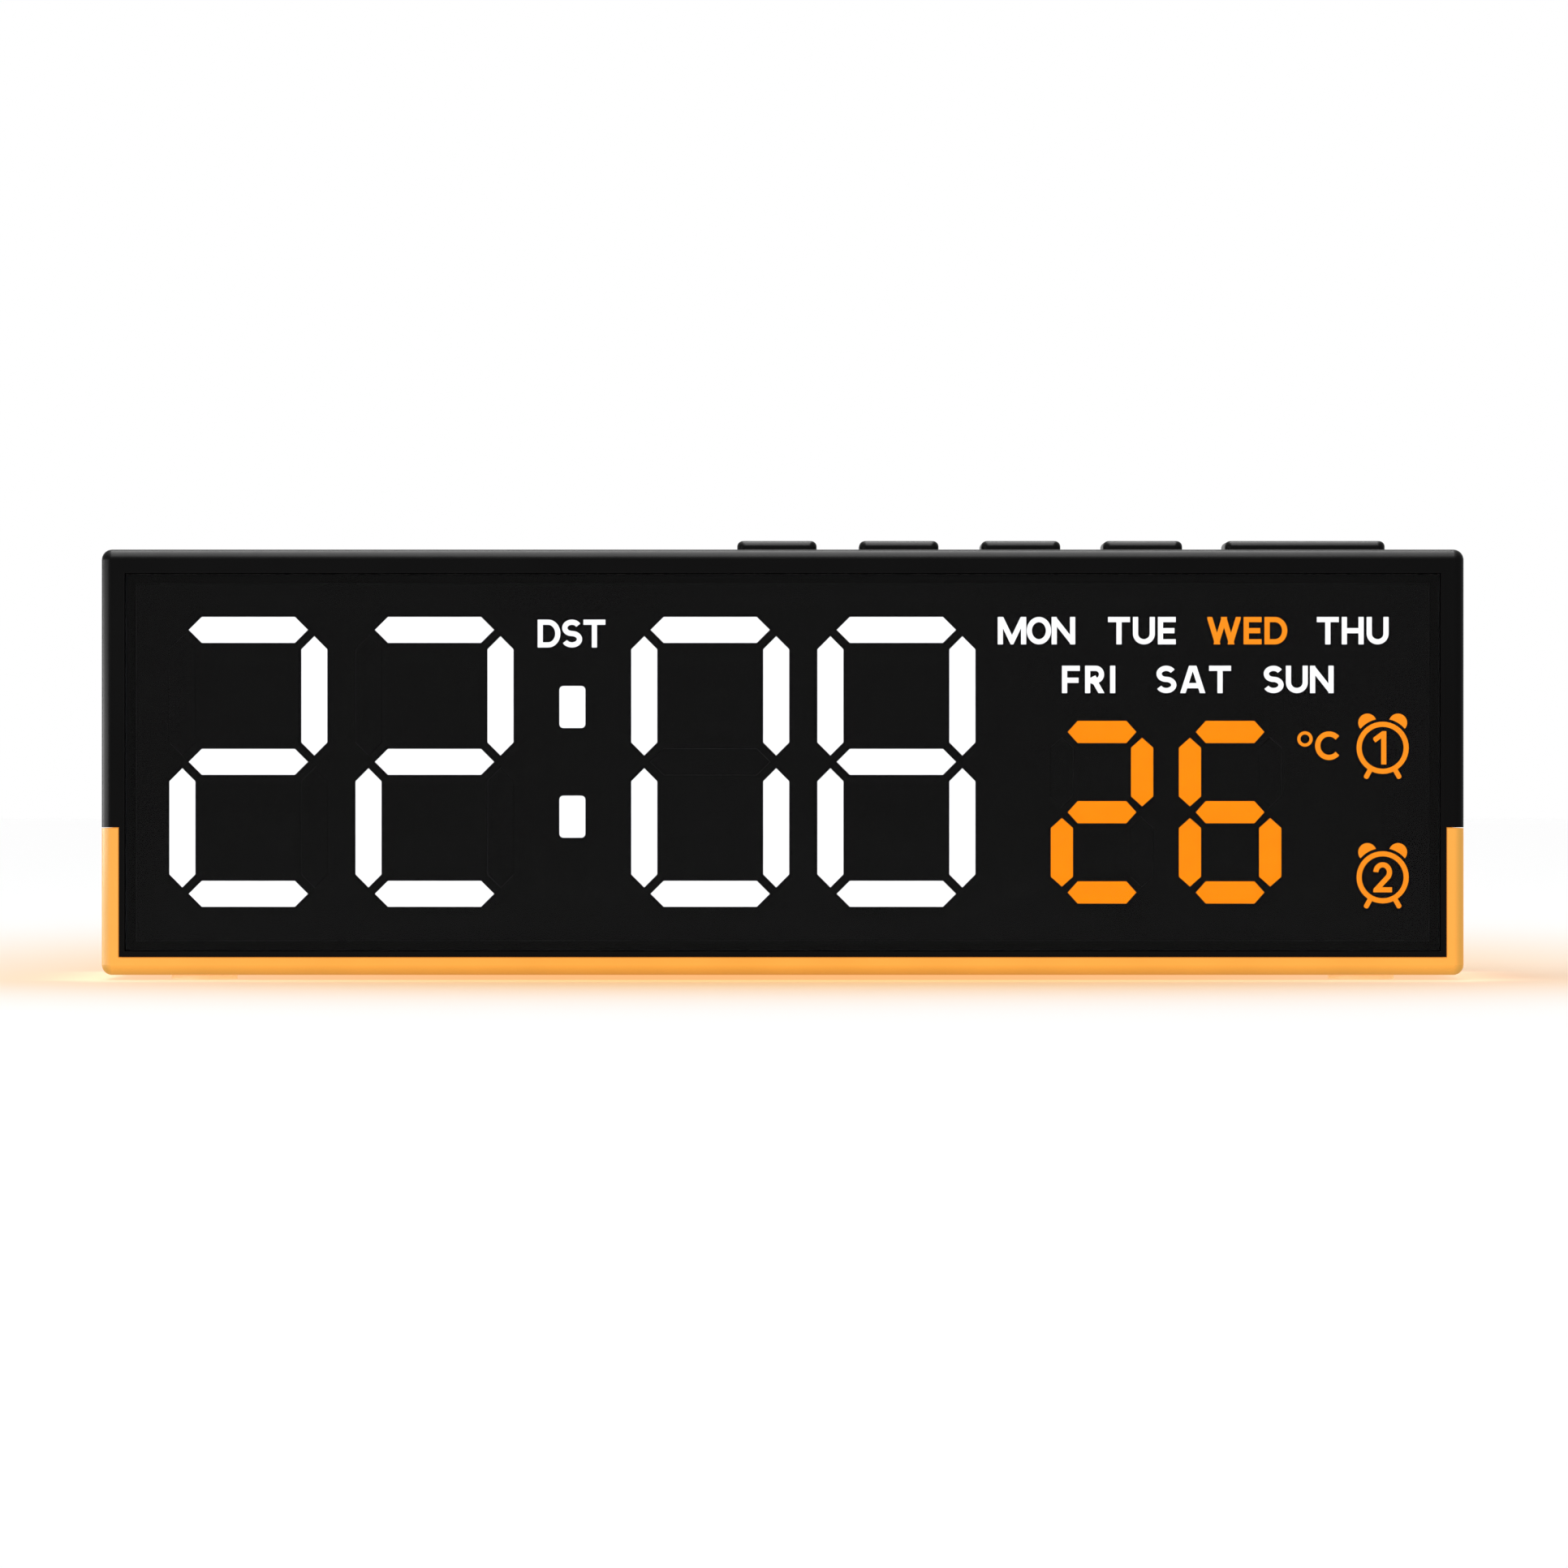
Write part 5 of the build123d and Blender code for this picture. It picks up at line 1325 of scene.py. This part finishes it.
@dataclass
class Studio:
    """Pale floor with the night light's glow painted into its colour and emission, soft light, two panels
    for the shine, and the camera.

    Each fade of the painted glow is a reach and a power.
    """

    floor_side: float = 6.0
    floor_white: float = 0.55
    floor_lift: float = 0.41
    floor_roughness: float = 0.9
    floor_specular: float = 0.05
    # Painted glow: the night light's warm pool is painted into the floor's colour and emission, fading by
    # these reaches and powers.
    glow: Colour = (1.0, 0.55, 0.17)
    painted_glow_share: float = 0.88
    painted_glow_fade_aside: Point = (0.120, 2.5)
    painted_glow_fade_ahead: Point = (0.050, 1.5)
    painted_glow_fade_behind: Point = (0.185, 2.0)
    # Painted light: the floor's emission is lifted near and under the base, painting out the shade that
    # falls there.
    painted_under_light: float = 0.75
    painted_under_light_fade: Point = (6.0 * MM, 2.0)

    ambient: float = 0.55
    backdrop: float = 1.0
    key_strength: float = 1.55
    key_from: Place = (-0.35, -0.15, 0.92)
    key_spread: float = 60.0
    panels: tuple[ShinePanel, ...] = (
        ShinePanel("top_panel", (0.6, 2.1), (0.0, -0.55, 0.95), tilt=0.0, light=23.0),
        ShinePanel("left_panel", (0.051, 0.375), (-0.25, -0.11, 0.026), tilt=-90.0, light=22.0),
    )

    camera_x: float = 0.16 * MM
    camera_z: float = 23.74 * MM
    camera_reach: float = 650.0 * MM
    seen_width: float = 189.68 * MM
    sensor: float = 36.0

    def floor_finish(self) -> bpy.types.Material:
        """Makes the floor's white with the night light's warm glow painted into its colour and emission,
        and painted light that lifts the floor near and under the base.

        Returns:
            The floor's material.
        """
        bench = Bench("studio_floor_white_painted_glow")
        place = bench.parts(bench.place)
        near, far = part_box("light_bar")
        sideways = bench.sum("ABSOLUTE", place["X"])
        ahead = bench.past(near.y, place["Y"])
        behind = bench.past(place["Y"], far.y)
        outside = bench.sum("ADD", bench.sum("ADD", ahead, behind), bench.past(sideways, far.x))
        painted_glow_aside_fade, painted_glow_ahead_fade, painted_glow_behind_fade, painted_under_light_fade = (
            bench.sum("POWER", bench.sum("DIVIDE", length, reach), power)
            for length, (reach, power) in (
                (sideways, self.painted_glow_fade_aside),
                (ahead, self.painted_glow_fade_ahead),
                (behind, self.painted_glow_fade_behind),
                (outside, self.painted_under_light_fade),
            )
        )
        fade = bench.sum("ADD", painted_glow_aside_fade, bench.sum("ADD", painted_glow_ahead_fade, painted_glow_behind_fade))
        # Painted glow: the share of the warm pool painted into the floor's colour and emission.
        share = bench.product(bench.decay(fade), self.painted_glow_share)
        # Painted light: lifts the floor's emission near and under the base.
        lift = bench.sum("ADD", bench.product(bench.decay(painted_under_light_fade), self.painted_under_light), 1.0)
        white: Colour = (self.floor_white,) * 3
        amber: Colour = tuple(self.floor_white * part for part in self.glow)
        bench.show(
            Base_Color=bench.blend(share, white, amber),
            Roughness=self.floor_roughness,
            Specular_IOR_Level=self.floor_specular,
            Emission_Color=bench.blend(share, PURE_WHITE, self.glow),
            Emission_Strength=bench.product(lift, self.floor_lift),
        )
        return bench.material

    def build_floor(self) -> None:
        """Lays the floor."""
        sheet = level_sheet(self.floor_side, self.floor_side)
        floor = placed("studio_floor", as_mesh(sheet, "studio_floor"))
        floor.data.materials.append(self.floor_finish())

    def build_world(self) -> None:
        """Fills the world with soft light and a white background."""
        world = bpy.data.worlds.new("white_studio")
        bpy.context.scene.world = world
        world.use_nodes = True
        world.node_tree.nodes.clear()
        wires = Wiring(world.node_tree)
        rays = wires.node("ShaderNodeLightPath").outputs
        seen = wires.sum("MAXIMUM", rays["Is Camera Ray"], rays["Is Glossy Ray"])
        seen = wires.sum("MAXIMUM", seen, rays["Is Transmission Ray"])
        soft, white = (
            wires.node("ShaderNodeBackground", {"Color": PURE_WHITE, "Strength": strength}).outputs[0]
            for strength in (self.ambient, self.backdrop)
        )
        mixed = wires.node("ShaderNodeMixShader", {0: seen, 1: soft, 2: white}).outputs["Shader"]
        wires.node("ShaderNodeOutputWorld", {"Surface": mixed})

    def build_key(self) -> None:
        """Hangs the one soft lamp, above and to the left."""
        lamp = bpy.data.lights.new("key_lamp", "SUN")
        lamp.energy = self.key_strength
        lamp.angle = math.radians(self.key_spread)
        towards = Vector(self.key_from).to_track_quat("Z", "Y")
        placed("key_lamp", lamp).rotation_euler = towards.to_euler()

    def build_camera(self) -> None:
        """Sets the camera level, straight in front of the face."""
        camera = bpy.data.cameras.new("front_camera")
        camera.sensor_width = self.sensor
        camera.lens = self.sensor * self.camera_reach / self.seen_width
        holder = placed("front_camera", camera)
        holder.location = (self.camera_x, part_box("housing")[0].y - self.camera_reach, self.camera_z)
        holder.rotation_euler = (math.pi / 2, 0.0, 0.0)
        bpy.context.scene.camera = holder

    def build(self) -> None:
        """Builds the whole studio."""
        bpy.context.scene.view_settings.view_transform = "Standard"
        self.build_floor()
        self.build_world()
        self.build_key()
        for panel in self.panels:
            panel.hang()
        self.build_camera()
        LOG.info("studio is set")


def main() -> None:
    """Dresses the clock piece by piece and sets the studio."""
    logging.basicConfig(level=logging.INFO, format="%(name)s: %(message)s")
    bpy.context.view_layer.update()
    face = DisplayFace()
    for assembly in (CaseShell(), NightLight(), face, ButtonRow(), Electronics()):
        assembly.dress()
    for sign in face.build_signs():
        LOG.info("%s is made with %d faces", sign.name, len(sign.data.polygons))
    Studio().build()


if __name__ == "__main__":
    main()
